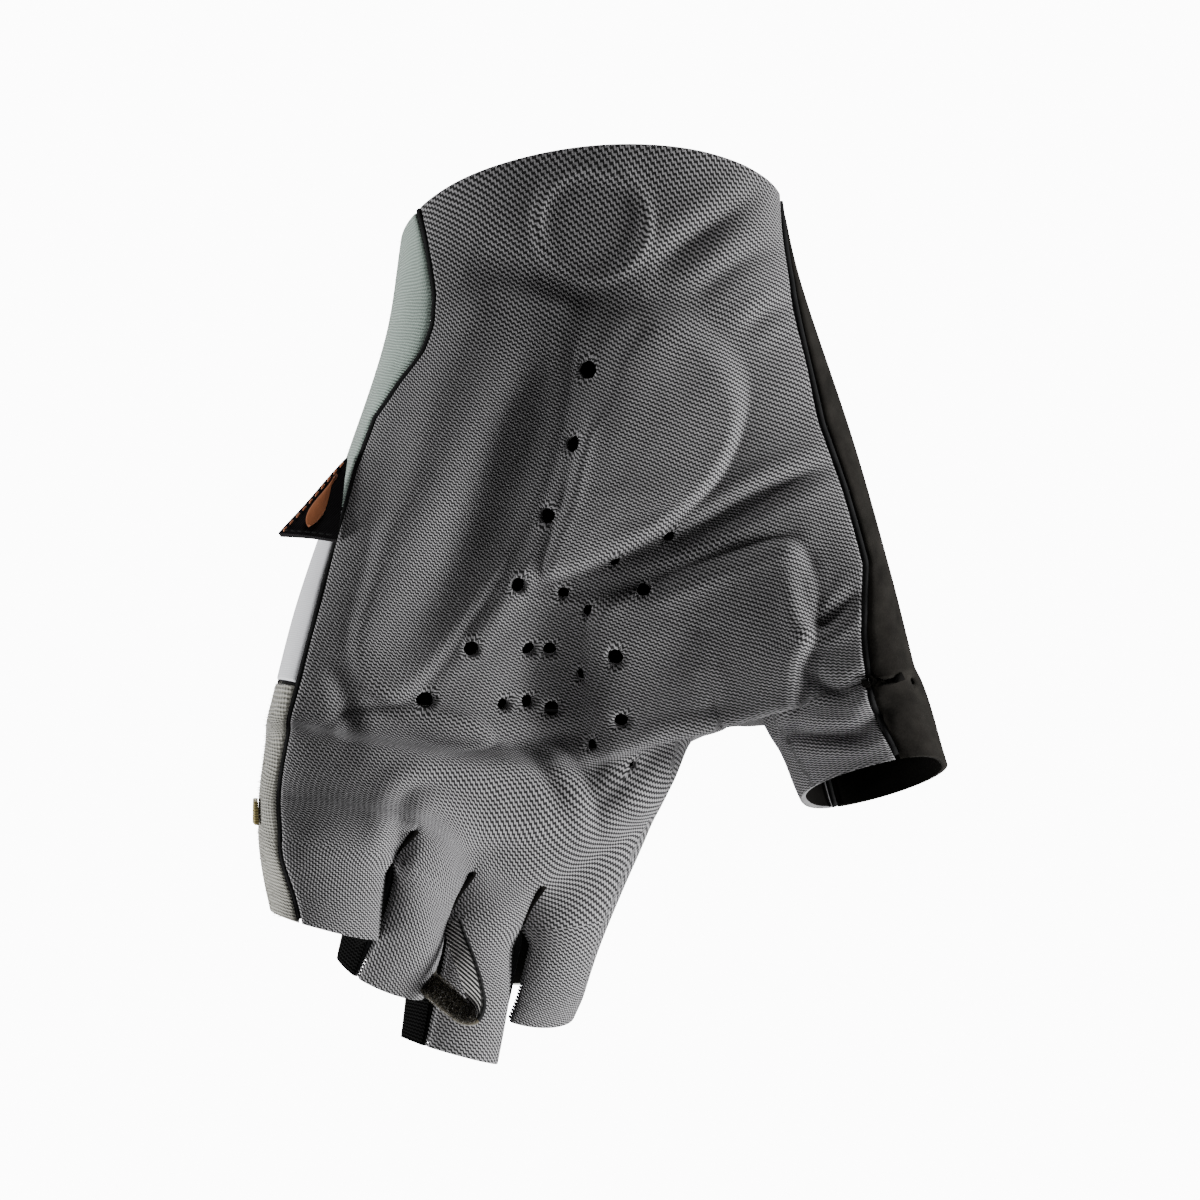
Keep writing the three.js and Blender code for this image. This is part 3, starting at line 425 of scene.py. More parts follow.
class HandForm:
    """The worn form of the glove: a centre surface with a half depth on each side."""

    def __init__(self, relief: PalmRelief) -> None:
        """Keep the relief of the palm."""
        self.relief = relief
        self.trunk_rows = [place(rows) for rows in (TRUNK_LITTLE, TRUNK_MIDDLE, TRUNK_THUMB)]
        self.body_edges = place(BODY_EDGES)

    def trunk_rows_at(self, t: Array) -> Array:
        """Points of every trunk row at shares of the hand, as (rows, places, 3)."""
        little, middle, thumb = (rows[:, None, :] for rows in self.trunk_rows)
        t = t[None, :, None]
        return little * (1 - t) * (1 - 2 * t) + middle * 4 * t * (1 - t) + thumb * t * (2 * t - 1)

    def trunk(self, t: Array, at: Array) -> Array:
        """Centre surface of the hand before it divides."""
        return through_stations(TRUNK_AT, self.trunk_rows_at(t), at)

    def web_slope(self, t: Array) -> Array:
        """Slope of the trunk at the thumb web."""
        rows = self.trunk_rows_at(t)
        return (rows[-1] - rows[-2]) / (TRUNK_AT[-1] - TRUNK_AT[-2])

    def body_rows_at(self, t: Array) -> Array:
        """Points of every row of the four-finger body, as (rows, places, 3)."""
        rows = (np.repeat(edges[:, None, :], len(t), 1) for edges in self.body_edges)
        return np.array([through_stations(BODY_SHARES, row, t) for row in rows])

    def body(self, t: Array, at: Array) -> Array:
        """Centre surface of the four-finger body below the thumb web."""
        web = self.trunk_rows_at(t * THUMB_SHARE)[-1:]
        rows = np.concatenate([web, self.body_rows_at(t)])
        return through_stations(np.append(WEB_AT, BODY_AT), rows, at, self.web_slope(t * THUMB_SHARE))

    @staticmethod
    def body_share(digit: Digit, t: Array) -> Array:
        """Share of the four-finger body at a share of one finger."""
        return lerp(BODY_SHARES[digit.border], BODY_SHARES[digit.border + 1], t)

    def trunk_share(self, digit: Digit, t: Array) -> Array:
        """Share of the whole hand at a share of one digit."""
        return lerp(THUMB_SHARE, 1, t) if digit.border is None else self.body_share(digit, t) * THUMB_SHARE

    def centre(self, digit: Digit, t: Array, at: Array) -> Array:
        """Centre surface of one digit.

        Args:
            digit: The digit.
            t: Shares across the digit.
            at: Shares along the hand.

        Returns:
            Points in millimetres.
        """
        trunk_t = self.trunk_share(digit, t)
        trunk = self.trunk(trunk_t, np.minimum(at, WEB_AT))
        end = lerp(place(digit.left), place(digit.right), t[:, None])
        if digit.border is None:
            neck = lerp(place(THUMB_NECK.left), place(THUMB_NECK.right), t[:, None])
            rows = np.array([self.trunk_rows_at(trunk_t)[-1], neck, end])
            stations = np.array([WEB_AT, THUMB_NECK.end, digit.end])
            stall = through_stations(stations, rows, at, self.web_slope(trunk_t))
            return np.where((at <= WEB_AT)[:, None], trunk, stall)
        body_t = self.body_share(digit, t)
        body = self.body(body_t, clamp(at, WEB_AT, CROTCH_AT))
        rows = self.body_rows_at(body_t)
        slope = (rows[-1] - rows[-2]) / (BODY_AT[-1] - BODY_AT[-2])
        stall = through_stations(np.array([CROTCH_AT, digit.end]), np.array([rows[-1], end]), at, slope)
        return np.where((at <= WEB_AT)[:, None], trunk, np.where((at <= CROTCH_AT)[:, None], body, stall))

    @staticmethod
    def side_wall(digit: Digit, right: bool, at: Array) -> tuple[float, Array]:
        """Half angle of a side wall, and how far it has closed off from its neighbour."""
        outer = right if digit.border is None else digit is LITTLE and not right
        web = not right if digit.border is None else digit is INDEX and right
        if outer:
            return 0.0, np.ones_like(at)
        if web:
            angle = SIDE_ANGLES["thumb_web" if digit.border is None else "index_web"]
            return angle, smooth((at - WEB_AT) / WEB_RUN)
        return SIDE_ANGLES["finger"], smooth((at - CROTCH_AT) / CROTCH_RUN)

    def cuts(self, digit: Digit, at: Array) -> tuple[Array, Array]:
        """Shares of the closed section that are still open on the left and on the right."""
        return tuple(side_share(angle) * (1 - closed)
                     for angle, closed in (self.side_wall(digit, side, at) for side in (False, True)))

    def open_share(self, digit: Digit, share: Array, at: Array) -> Array:
        """Turn a share of the closed section into a share of the centre surface."""
        left, right = self.cuts(digit, at)
        return clamp((share - left) / (1 - left - right))

    def across(self, digit: Digit, t: Array, at: Array) -> Array:
        """Direction across the hand."""
        reach = 0.2
        trunk_t = self.trunk_share(digit, t)
        trunk_at = np.minimum(at, WEB_AT)
        trunk = direction(self.trunk(clamp(trunk_t - reach), trunk_at),
                          self.trunk(clamp(trunk_t + reach), trunk_at), TRUNK_TURN)
        zero, one = np.zeros_like(t), np.ones_like(t)
        own = direction(self.centre(digit, zero, at), self.centre(digit, one, at))
        web = smooth((at - WEB_AT) / WEB_TURN_RUN)[:, None]
        if digit.border is None:
            return unit(lerp(trunk, own, web))
        body_t = self.body_share(digit, t)
        body_at = clamp(at, WEB_AT, CROTCH_AT)
        body = direction(self.body(clamp(body_t - reach), body_at), self.body(clamp(body_t + reach), body_at),
                         BODY_TURN)
        parent = unit(lerp(trunk, body, web))
        return unit(lerp(parent, own, smooth((at - CROTCH_AT) / TURN_RUN)[:, None]))

    def axis(self, digit: Digit, at: Array) -> Array:
        """Direction along the hand towards the fingers."""
        step = 0.01
        half = np.full_like(at, 0.5)
        trunk_at = clamp(at, step, WEB_AT)
        trunk = direction(self.trunk(half, trunk_at - step), self.trunk(half, trunk_at), TRUNK_TURN)
        own = direction(self.centre(digit, half, at - step), self.centre(digit, half, at))
        web = smooth((at - WEB_AT) / WEB_TURN_RUN)[:, None]
        if digit.border is None:
            return unit(lerp(trunk, own, web))
        body_at = clamp(at, WEB_AT + step, CROTCH_AT)
        body = direction(self.body(half, body_at - step), self.body(half, body_at), BODY_TURN)
        parent = unit(lerp(trunk, body, web))
        return unit(lerp(parent, own, smooth((at - CROTCH_AT) / TURN_RUN)[:, None]))

    def palmwards(self, digit: Digit, t: Array, at: Array) -> Array:
        """Direction out of the palm."""
        return unit(np.cross(self.axis(digit, at), self.across(digit, t, at)))

    def half_depth(self, digit: Digit, t: Array, at: Array, side: Side) -> Array:
        """Half depth of the hand in front of or behind its centre surface."""
        full = np.interp(at, DEPTH_AT, HALF_DEPTHS[side.value])
        join = round_profile(1 - side_share(SIDE_ANGLES["body_web"])) / round_profile(side_share(
            SIDE_ANGLES["thumb_web"]))
        cut = 1 - smooth((at - WEB_AT) / WEB_RUN)
        blend = smooth((at - (WEB_AT - 0.18)) / 0.18)
        trunk = round_profile(self.trunk_share(digit, t)) * full
        if digit.border is None:
            own = round_profile(lerp(side_share(SIDE_ANGLES["thumb_web"]) * cut, 1, t))
            before = np.interp(np.minimum(at, WEB_AT), DEPTH_AT, HALF_DEPTHS[side.value]) * join
            at_web = np.interp(WEB_AT, DEPTH_AT, HALF_DEPTHS[side.value]) * join
            ends = [at_web, getattr(THUMB_NECK, side.value), getattr(digit, side.value)]
            after = np.interp(at, [WEB_AT, THUMB_NECK.end, digit.end], ends)
            return np.where(at <= WEB_AT, lerp(trunk, own * before, blend), own * after)
        web_cut = side_share(SIDE_ANGLES["body_web"]) * cut
        body = round_profile(self.body_share(digit, t) * (1 - web_cut)) * full
        left, right = self.cuts(digit, at)
        last = HALF_DEPTHS[side.value][-1]
        stall = np.interp(at, [CROTCH_AT, digit.end], [last, getattr(digit, side.value)])
        own = round_profile(lerp(left, 1 - right, t)) * np.where(at <= CROTCH_AT, full, stall)
        divided = lerp(body, own, smooth((at - (CROTCH_AT - VALLEY_RUN)) / VALLEY_RUN))
        return np.where(at <= WEB_AT, lerp(trunk, body, blend), divided)

    def lip_drop(self, digit: Digit, at: Array, depth: Array) -> Array:
        """Extra length of the palm side at the end of a stall."""
        start = THUMB_NECK.end if digit.border is None else CROTCH_AT
        return digit.lip * smooth((at - start) / (digit.end - start)) * depth / digit.front

    def skin(self, digit: Digit, share: Array, at: Array, side: Side) -> Array:
        """Middle of the fabric at shares of the closed cross-section.

        Args:
            digit: The digit.
            share: Shares of its closed cross-section.
            at: Shares along the hand.
            side: Palm side or back.

        Returns:
            Points in millimetres.
        """
        t = self.open_share(digit, share, at)
        outward = self.palmwards(digit, t, at)
        sign = 1.0 if side is Side.FRONT else -1.0
        depth = self.half_depth(digit, t, at, side)
        point = self.centre(digit, t, at) + outward * (sign * depth)[:, None]
        if side is Side.FRONT:
            trunk_round = round_profile(self.trunk_share(digit, t))
            edge = clamp(trunk_round * 1.4)
            point[:, 2] += HEEL_RISE * trunk_round**HEEL_FULLNESS * (1 - clamp(at / 0.17)) ** 2
            point = point + outward * (self.relief.height(point[:, 0], point[:, 2]) * edge)[:, None]
        point[:, 2] -= self.lip_drop(digit, at, sign * depth)
        return point

    def wall(self, digit: Digit, right: bool, turn: Array, at: Array) -> Array:
        """Middle of the fabric on a rounded side wall; turn is 1 on the palm side and -1 on the back."""
        angle = self.side_wall(digit, right, at)[0]
        bend = math.radians(angle)
        edge = np.full_like(at, side_share(angle))
        share = (1 - np.cos(bend * turn)) / 2
        edge_t = self.open_share(digit, 1 - edge if right else edge, at)
        t = self.open_share(digit, 1 - share if right else share, at)
        front = self.half_depth(digit, edge_t, at, Side.FRONT)
        back = self.half_depth(digit, edge_t, at, Side.BACK)
        depth = np.where(turn >= 0, front, back) * (np.abs(np.sin(bend * turn)) / math.sin(bend)) ** ROUNDNESS
        outward = self.palmwards(digit, t, at)
        point = self.centre(digit, t, at) + outward * (np.sign(turn) * depth)[:, None]
        rise = self.relief.height(point[:, 0], point[:, 2]) * clamp(depth / 6) * (turn >= 0)
        point = point + outward * rise[:, None]
        point[:, 2] -= self.lip_drop(digit, at, np.sign(turn) * depth)
        return point

    def width(self, digit: Digit, at: Array) -> Array:
        """Width of a digit in millimetres."""
        zero, one = np.zeros_like(at), np.ones_like(at)
        return np.linalg.norm(self.centre(digit, one, at) - self.centre(digit, zero, at), axis=1)

    def wrap(self, digit: Digit, at: Array) -> Array:
        """Share of a digit's width that the back fabric wraps round to the palm side."""
        table = THUMB_WRAP if digit.border is None else LITTLE_WRAP
        return np.interp(at, *table) * BREADTH / self.width(digit, at)


@dataclass
class Strip:
    """A grid of fabric: rows along the hand, columns across, and how far each point lies sunk."""

    points: Array
    sink: Array
    cloth: Array | None = None
    at: Array | None = None

    @property
    def arc(self) -> Array:
        """Length along each row up to each column in millimetres."""
        steps = np.linalg.norm(np.diff(self.points, axis=1), axis=2)
        return np.pad(np.cumsum(steps, axis=1), ((0, 0), (1, 0)))

    @property
    def flat_arc(self) -> Array:
        """The arc with the full width of the rows eased along the strip, so that the weave doesn't shear."""
        arc = self.arc
        full = np.pad(arc[:, -1], EASE_ROWS // 2, mode="edge")
        eased = np.convolve(full, np.ones(EASE_ROWS) / EASE_ROWS, mode="valid")
        return arc * (eased / arc[:, -1])[:, None]

    @property
    def run(self) -> Array:
        """Length down to each row in millimetres, from the cuff where the row's station is known."""
        if self.at is not None:
            return self.at * REACH
        middle = self.points[:, self.points.shape[1] // 2]
        return np.append(0.0, np.cumsum(np.linalg.norm(np.diff(middle, axis=0), axis=1)))


def spaced(length: float, pitch: float, start_edge: bool, end_edge: bool) -> Array:
    """Shares of a length at an even pitch, with closer steps at its free edges.

    Args:
        length: The length in millimetres.
        pitch: The even step in millimetres.
        start_edge: Whether the start is a free edge.
        end_edge: Whether the end is a free edge.

    Returns:
        Growing shares from 0 to 1.
    """
    close = [0.12, 0.30, 0.55]
    low = [d for d in close if start_edge]
    high = [length - d for d in reversed(close) if end_edge]
    first, last = (0.9 if start_edge else 0.0), (length - 0.9 if end_edge else length)
    middle = np.linspace(first, last, max(2, round((last - first) / pitch) + 1))
    values = ([0.0] if start_edge else []) + low + list(middle) + high + ([length] if end_edge else [])
    return np.array(values) / length


def roll_over(distance: Array, radius: float = 0.62) -> Array:
    """Drop of a rolled fabric edge at a distance from the edge."""
    inside = clamp(radius - distance, 0, radius)
    return radius - np.sqrt(radius**2 - inside**2)


def trunk_and(*runs: Array) -> Array:
    """Stations along the hand from the cuff to the thumb web, followed by further runs."""
    trunk = spaced(WEB_AT * REACH, 0.66, True, False) * WEB_AT
    return np.concatenate([trunk, *(run[1:] for run in runs)])


def stations(start: float, end: float, pitch: float, start_edge: bool = False, end_edge: bool = False
             ) -> Array:
    """Stations from one share of the reach to another."""
    return start + (end - start) * spaced((end - start) * REACH, pitch, start_edge, end_edge)


class PanelMaker:
    """Turns shares of the hand form into strips of fabric and strips into meshes."""

    PITCH = 0.66

    def __init__(self, form: HandForm) -> None:
        """Keep the hand form."""
        self.form = form

    def columns(self, digit: Digit, start: float, stop: float, side: Side,
                free: tuple[bool, bool] = (True, True)) -> Array:
        """Shares across a strip at an even spacing along its arc, closer at its free edges."""
        share = np.linspace(start, stop, 80)
        line = self.form.skin(digit, share, np.full(80, 0.36), side)
        arc = np.append(0.0, np.cumsum(np.linalg.norm(np.diff(line, axis=0), axis=1)))
        return np.interp(spaced(arc[-1], self.PITCH, *free) * arc[-1], arc, np.linspace(0, 1, 80))

    def gap(self, digit: Digit, at: Array) -> Array:
        """Share of half a seam's clearance."""
        wide = 1.8 if digit.border is None or digit is INDEX else 1.0
        return SEAM_GAP / 2 / self.form.width(digit, at) * wide

    def strip(self, digit: Digit, at: Array, share: Array, side: Side, edges: Array) -> Strip:
        """Make a strip from a grid of shares.

        Args:
            digit: The digit.
            at: Stations of the rows.
            share: Closed-section shares, as (rows, columns).
            side: Palm side or back.
            edges: How free the left and right edges are on each row, as (rows, 2).

        Returns:
            The strip.
        """
        flat_at = np.repeat(at, share.shape[1])
        points = self.form.skin(digit, share.ravel(), flat_at, side).reshape(*share.shape, 3)
        strip = Strip(points, np.zeros(share.shape), at=at)
        arc = strip.arc
        strip.sink = roll_over(arc) * edges[:, :1] + roll_over(arc[:, -1:] - arc) * edges[:, 1:]
        return strip

    def slit(self, digit: Digit, right: bool, at: Array) -> Array:
        """Share of a digit's width by which its palm fabric stands back from a finger slit."""
        wide = SLITS.get((digit.name, right), 0.0)
        down = clamp((at - CROTCH_AT) / (digit.end - CROTCH_AT))
        return wide * smooth(down / 0.16) * (1 - 0.8 * down) / self.form.width(digit, at)

    def front(self, digit: Digit, at: Array) -> Strip:
        """Palm-side strip of one digit, columns from left to right."""
        gap = self.gap(digit, at)
        left, right = (side_share(self.form.side_wall(digit, s, at)[0]) for s in (False, True))
        beyond = (at > CROTCH_AT).astype(float)
        start = np.full_like(at, left) + gap * beyond * (digit.border is not None)
        stop = np.full_like(at, 1 - right) - gap * beyond * (digit not in (INDEX, THUMB))
        edges = np.stack([beyond, beyond], 1)
        start, stop = start + self.slit(digit, False, at), stop - self.slit(digit, True, at)
        if digit is LITTLE:
            start, edges[:, 0] = self.form.wrap(digit, at) + gap, 1
        if digit is THUMB:
            stop, edges[:, 0], edges[:, 1] = 1 - self.form.wrap(digit, at) - gap, 0, 1
        if digit is INDEX:
            edges[:, 1] = 0
        free = (digit is not THUMB, digit is not INDEX)
        columns = self.columns(digit, float(np.median(start)), float(np.median(stop)), Side.FRONT, free)
        share = start[:, None] + (stop - start)[:, None] * columns[None, :]
        return self.strip(digit, at, share, Side.FRONT, edges)

    def back(self, digit: Digit, at: Array) -> Strip:
        """Back strip of one digit, columns from right to left."""
        gap = self.gap(digit, at)
        left, right = (side_share(self.form.side_wall(digit, s, at)[0]) for s in (False, True))
        beyond = (at > CROTCH_AT).astype(float)
        start = left + gap * (1.0 if digit is THUMB else beyond * (digit is not LITTLE))
        stop = np.ones_like(at) if digit is THUMB else 1 - right - gap * (1.0 if digit is INDEX else beyond)
        edges = np.stack([beyond, beyond], 1)
        if digit is THUMB:
            edges[:, 0], edges[:, 1] = 0, 1
        if digit is LITTLE:
            edges[:, 1] = 0
        if digit is INDEX:
            edges[:, 0] = 1
        columns = self.columns(digit, float(np.median(stop)), float(np.median(start)), Side.BACK)
        share = stop[:, None] + (start - stop)[:, None] * columns[None, :]
        return self.strip(digit, at, share, Side.BACK, edges)

    def wrap(self, digit: Digit, at: Array) -> Strip:
        """Strip that turns from the outer edge of the hand on to the palm side."""
        reach = self.form.wrap(digit, at) - self.gap(digit, at)
        columns = np.linspace(0, 1, 12)
        if digit is THUMB:
            share = 1 - reach[:, None] * (1 - columns[None, :]) ** 2
            edges = np.tile([1.0, 0.0], (len(at), 1))
        else:
            share = reach[:, None] * columns[None, :] ** 2
            edges = np.tile([0.0, 1.0], (len(at), 1))
        return self.strip(digit, at, share, Side.FRONT, edges)

    def side(self, digit: Digit, right: bool, at: Array, count: int, insets: tuple[float, float],
             first: Array | None = None) -> Strip:
        """Side wall of a digit.

        Args:
            digit: The digit.
            right: Whether it is the right wall.
            at: Stations of the rows.
            count: Number of columns.
            insets: Clearance at the palm edge and at the back edge of the first row, in millimetres.
            first: Points of the first row, from front to back.

        Returns:
            The strip; right walls run front to back and left walls back to front.
        """
        angle = self.form.side_wall(digit, right, at)[0]
        edge = np.full_like(at, 1 - side_share(angle) if right else side_share(angle))
        arc = self.form.half_depth(digit, edge, at, Side.FRONT)
        fade = clamp((at - at[0]) * REACH / 21)
        front, back = (lerp(inset, SEAM_GAP / 2, fade) / arc if inset else np.zeros_like(at)
                       for inset in insets)
        columns = np.linspace(0, 1, count) if right else np.linspace(1, 0, count)
        turn = (1 - front)[:, None] + (back - 2 + front)[:, None] * columns[None, :]
        points = self.form.wall(digit, right, turn.ravel(), np.repeat(at, count)).reshape(len(at), count, 3)
        if first is not None:
            points[0] = first if right else first[::-1]
        strip = Strip(points, np.zeros(turn.shape), at=at)
        free = strip.arc
        if insets[1] and right:
            strip.sink = roll_over(free[:, -1:] - free)
        elif insets[1]:
            strip.sink = roll_over(free)
        return strip

    @staticmethod
    def lay_out(strips: list[Strip], joined: bool = False, anchor: int = 0) -> None:
        """Give strips their flat-cloth coordinates in millimetres.

        Args:
            strips: The strips, from left to right.
            joined: Whether the strips continue one another across the hand.
            anchor: Number of the strip that the others continue from.
        """
        starts: dict[int, Array] = {}
        arcs = [strip.flat_arc for strip in strips]
        for i in (*range(anchor, len(strips)), *range(anchor - 1, -1, -1)):
            full = arcs[i][:, -1:]
            if i == anchor or not joined:
                starts[i] = -full / 2
            else:
                edge = starts[i - 1] + arcs[i - 1][:, -1:] if i > anchor else starts[i + 1]
                rows = min(len(edge), len(full))
                shared = edge[:rows] if i > anchor else edge[:rows] - full[:rows]
                starts[i] = np.concatenate([shared, shared[-1] + (full[rows - 1] - full[rows:]) / 2])
            along = np.repeat(strips[i].run[:, None], arcs[i].shape[1], 1)
            strips[i].cloth = np.stack([starts[i] + arcs[i], -along], 2)

    @staticmethod
    def mesh(name: str, strips: list[Strip], materials: list[bpy.types.Material], wall: float = WALL - 0.1,
             slack: Callable[[Array, Array], Array] | None = None, lift: float = WALL / 2,
             holes: list[tuple[Array, float]] | None = None) -> bpy.types.Object:
        """Make one fabric panel from its strips.

        Args:
            name: Name of the piece.
            strips: Its strips.
            materials: Outer, lining and edge materials.
            wall: Fabric thickness in millimetres.
            slack: Extra rise over a place of the front view.
            lift: Rise of the outer face above the middle of the fabric.
            holes: Centre and bore of each hole.

        Returns:
            The object, with a live Solidify modifier.
        """
        bm = bmesh.new()
        cloth = bm.verts.layers.float_vector.new("cloth")
        sunk = bm.verts.layers.float.new("sunk")
        for strip in strips:
            rows, columns = strip.sink.shape
            grid = bmesh.ops.create_grid(bm, x_segments=columns - 1, y_segments=rows - 1, size=0.5)
            for vert in grid["verts"]:
                column = round((vert.co.x + 0.5) * (columns - 1))
                row = rows - 1 - round((vert.co.y + 0.5) * (rows - 1))
                vert.co = strip.points[row, column]
                vert[cloth] = (*strip.cloth[row, column], 0.0)
                vert[sunk] = strip.sink[row, column]
        bmesh.ops.remove_doubles(bm, verts=bm.verts[:], dist=0.03)
        open_holes(bm, holes or [])
        bm.normal_update()
        places = np.array([vert.co for vert in bm.verts])
        rise = slack(places[:, 0], places[:, 2]) if slack else np.zeros(len(places))
        for vert, extra in zip(bm.verts, rise):
            vert.co += vert.normal * (lift + extra - vert[sunk])
        uv = bm.loops.layers.uv.new("cloth")
        for face in bm.faces:
            face.smooth = True
            for loop in face.loops:
                loop[uv].uv = loop.vert[cloth][:2]
        piece = make_piece(bm, name, materials)
        solid = piece.modifiers.new("wall", "SOLIDIFY")
        solid.thickness = wall * MM
        solid.offset = -1
        solid.material_offset = 1
        solid.material_offset_rim = 2
        return piece


def make_piece(bm: bmesh.types.BMesh, name: str, materials: list[bpy.types.Material]) -> bpy.types.Object:
    """Turn a bmesh in millimetres into an object in metres, and free it."""
    bmesh.ops.scale(bm, vec=(MM, MM, MM), verts=bm.verts[:])
    mesh = bpy.data.meshes.new(name)
    bm.to_mesh(mesh)
    bm.free()
    for material in materials:
        mesh.materials.append(material)
    piece = bpy.data.objects.new(name, mesh)
    bpy.context.scene.collection.objects.link(piece)
    return piece


def map_threads(bm: bmesh.types.BMesh) -> None:
    """Give small thread shapes cloth coordinates from their own places in millimetres."""
    uv = bm.loops.layers.uv.new("cloth")
    for face in bm.faces:
        for loop in face.loops:
            loop[uv].uv = (loop.vert.co.x * 1.3 + loop.vert.co.y, loop.vert.co.z)


def open_holes(bm: bmesh.types.BMesh, holes: list[tuple[Array, float]]) -> None:
    """Cut round holes with slightly frayed rims out of a fabric before it gets its thickness.

    Args:
        bm: The fabric in millimetres.
        holes: Centre and bore of each hole.
    """
    draw = np.random.default_rng(4)
    places = np.array([vert.co for vert in bm.verts])
    bm.verts.ensure_lookup_table()
    cuts = []
    for centre, bore in holes:
        inside = np.flatnonzero(np.linalg.norm(places - centre, axis=1) < bore / 2)
        near = {bm.verts[int(i)] for i in inside}
        rim = {vert for inner in near for face in inner.link_faces for vert in face.verts} - near
        cuts.append((near, rim, Vector(centre), bore))
    for near, rim, centre, bore in cuts:
        for vert in rim:
            away = (vert.co - centre).normalized()
            vert.co = centre + away * (bore / 2 * draw.uniform(*FRAY))
    gone = {vert for near, *_ in cuts for vert in near}
    bmesh.ops.delete(bm, geom=list(gone), context="VERTS")


def front_place(strips: list[Strip], across: float, along: float) -> Array:
    """Find the point of a fabric at a place of the front view.

    Args:
        strips: Strips of the fabric.
        across: Share of the breadth.
        along: Share of the reach.

    Returns:
        The point in millimetres.
    """
    points = np.vstack([strip.points.reshape(-1, 3) for strip in strips])
    miss = np.hypot(points[:, 0] - across * BREADTH, points[:, 2] + along * REACH)
    return points[miss.argmin()]


class NodeDesk:
    """Builds a node tree with short calls; any value may be a number, a tuple or a socket."""

    def __init__(self, tree: bpy.types.NodeTree) -> None:
        """Keep the tree."""
        self.tree = tree

    def feed(self, socket: bpy.types.NodeSocket, value: object) -> None:
        """Link a socket or set its value."""
        if isinstance(value, bpy.types.NodeSocket):
            self.tree.links.new(value, socket)
        elif value is not None:
            socket.default_value = value

    def add(self, kind: str, inputs: dict | None = None, **settings: object) -> bpy.types.Node:
        """Add a node with its settings and inputs."""
        node = self.tree.nodes.new(kind)
        for name, value in settings.items():
            setattr(node, name, value)
        for name, value in (inputs or {}).items():
            self.feed(node.inputs[name], value)
        return node

    def sum(self, operation: str, a: object, b: object = None, c: object = None) -> bpy.types.NodeSocket:
        """Calculate one value."""
        return self.add("ShaderNodeMath", {0: a, 1: b, 2: c}, operation=operation).outputs[0]

    def between(self, value: object, low: float, high: float) -> bpy.types.NodeSocket:
        """Ease a value from 0 at low to 1 at high."""
        node = self.add("ShaderNodeMapRange", {"Value": value, "From Min": low, "From Max": high},
                        interpolation_type="SMOOTHSTEP")
        return node.outputs["Result"]

    def ripple(self, value: object) -> bpy.types.NodeSocket:
        """Rise and fall from 0 to 1 and back once in every unit of a value."""
        return self.sum("MULTIPLY", self.sum("PINGPONG", value, 0.5), 2.0)

    def blend(self, share: object, a: object, b: object) -> bpy.types.NodeSocket:
        """Mix two colours."""
        node = self.add("ShaderNodeMix", data_type="RGBA")
        for socket, value in zip((node.inputs[0], node.inputs[6], node.inputs[7]), (share, a, b)):
            self.feed(socket, value)
        return node.outputs[2]

    def noise(self, vector: object, scale: object, detail: float = 2.0, roughness: float = 0.5
              ) -> bpy.types.NodeSocket:
        """Value of a noise texture."""
        inputs = {"Vector": vector, "Scale": scale, "Detail": detail, "Roughness": roughness}
        return self.add("ShaderNodeTexNoise", inputs).outputs["Fac"]

    def group(self, tree: bpy.types.NodeTree, **inputs: object) -> bpy.types.Node:
        """Place a shared effect with its own values."""
        node = self.add("ShaderNodeGroup", node_tree=tree)
        for name, value in inputs.items():
            self.feed(node.inputs[name.replace("_", " ")], value)
        return node


def effect(name: str, inputs: dict[str, float], outputs: list[str]
           ) -> tuple[NodeDesk, bpy.types.Node, bpy.types.Node]:
    """Start a shared effect.

    Args:
        name: Name of the effect.
        inputs: Names of its values and their defaults; a Vector comes first.
        outputs: Names of the values that it puts out.

    Returns:
        The desk of its tree, its input node and its output node.
    """
    tree = bpy.data.node_groups.new(name, "ShaderNodeTree")
    tree.interface.new_socket("Vector", in_out="INPUT", socket_type="NodeSocketVector")
    for socket, value in inputs.items():
        tree.interface.new_socket(socket, in_out="INPUT", socket_type="NodeSocketFloat").default_value = value
    for socket in outputs:
        tree.interface.new_socket(socket, in_out="OUTPUT", socket_type="NodeSocketFloat")
    desk = NodeDesk(tree)
    return desk, desk.add("NodeGroupInput"), desk.add("NodeGroupOutput")


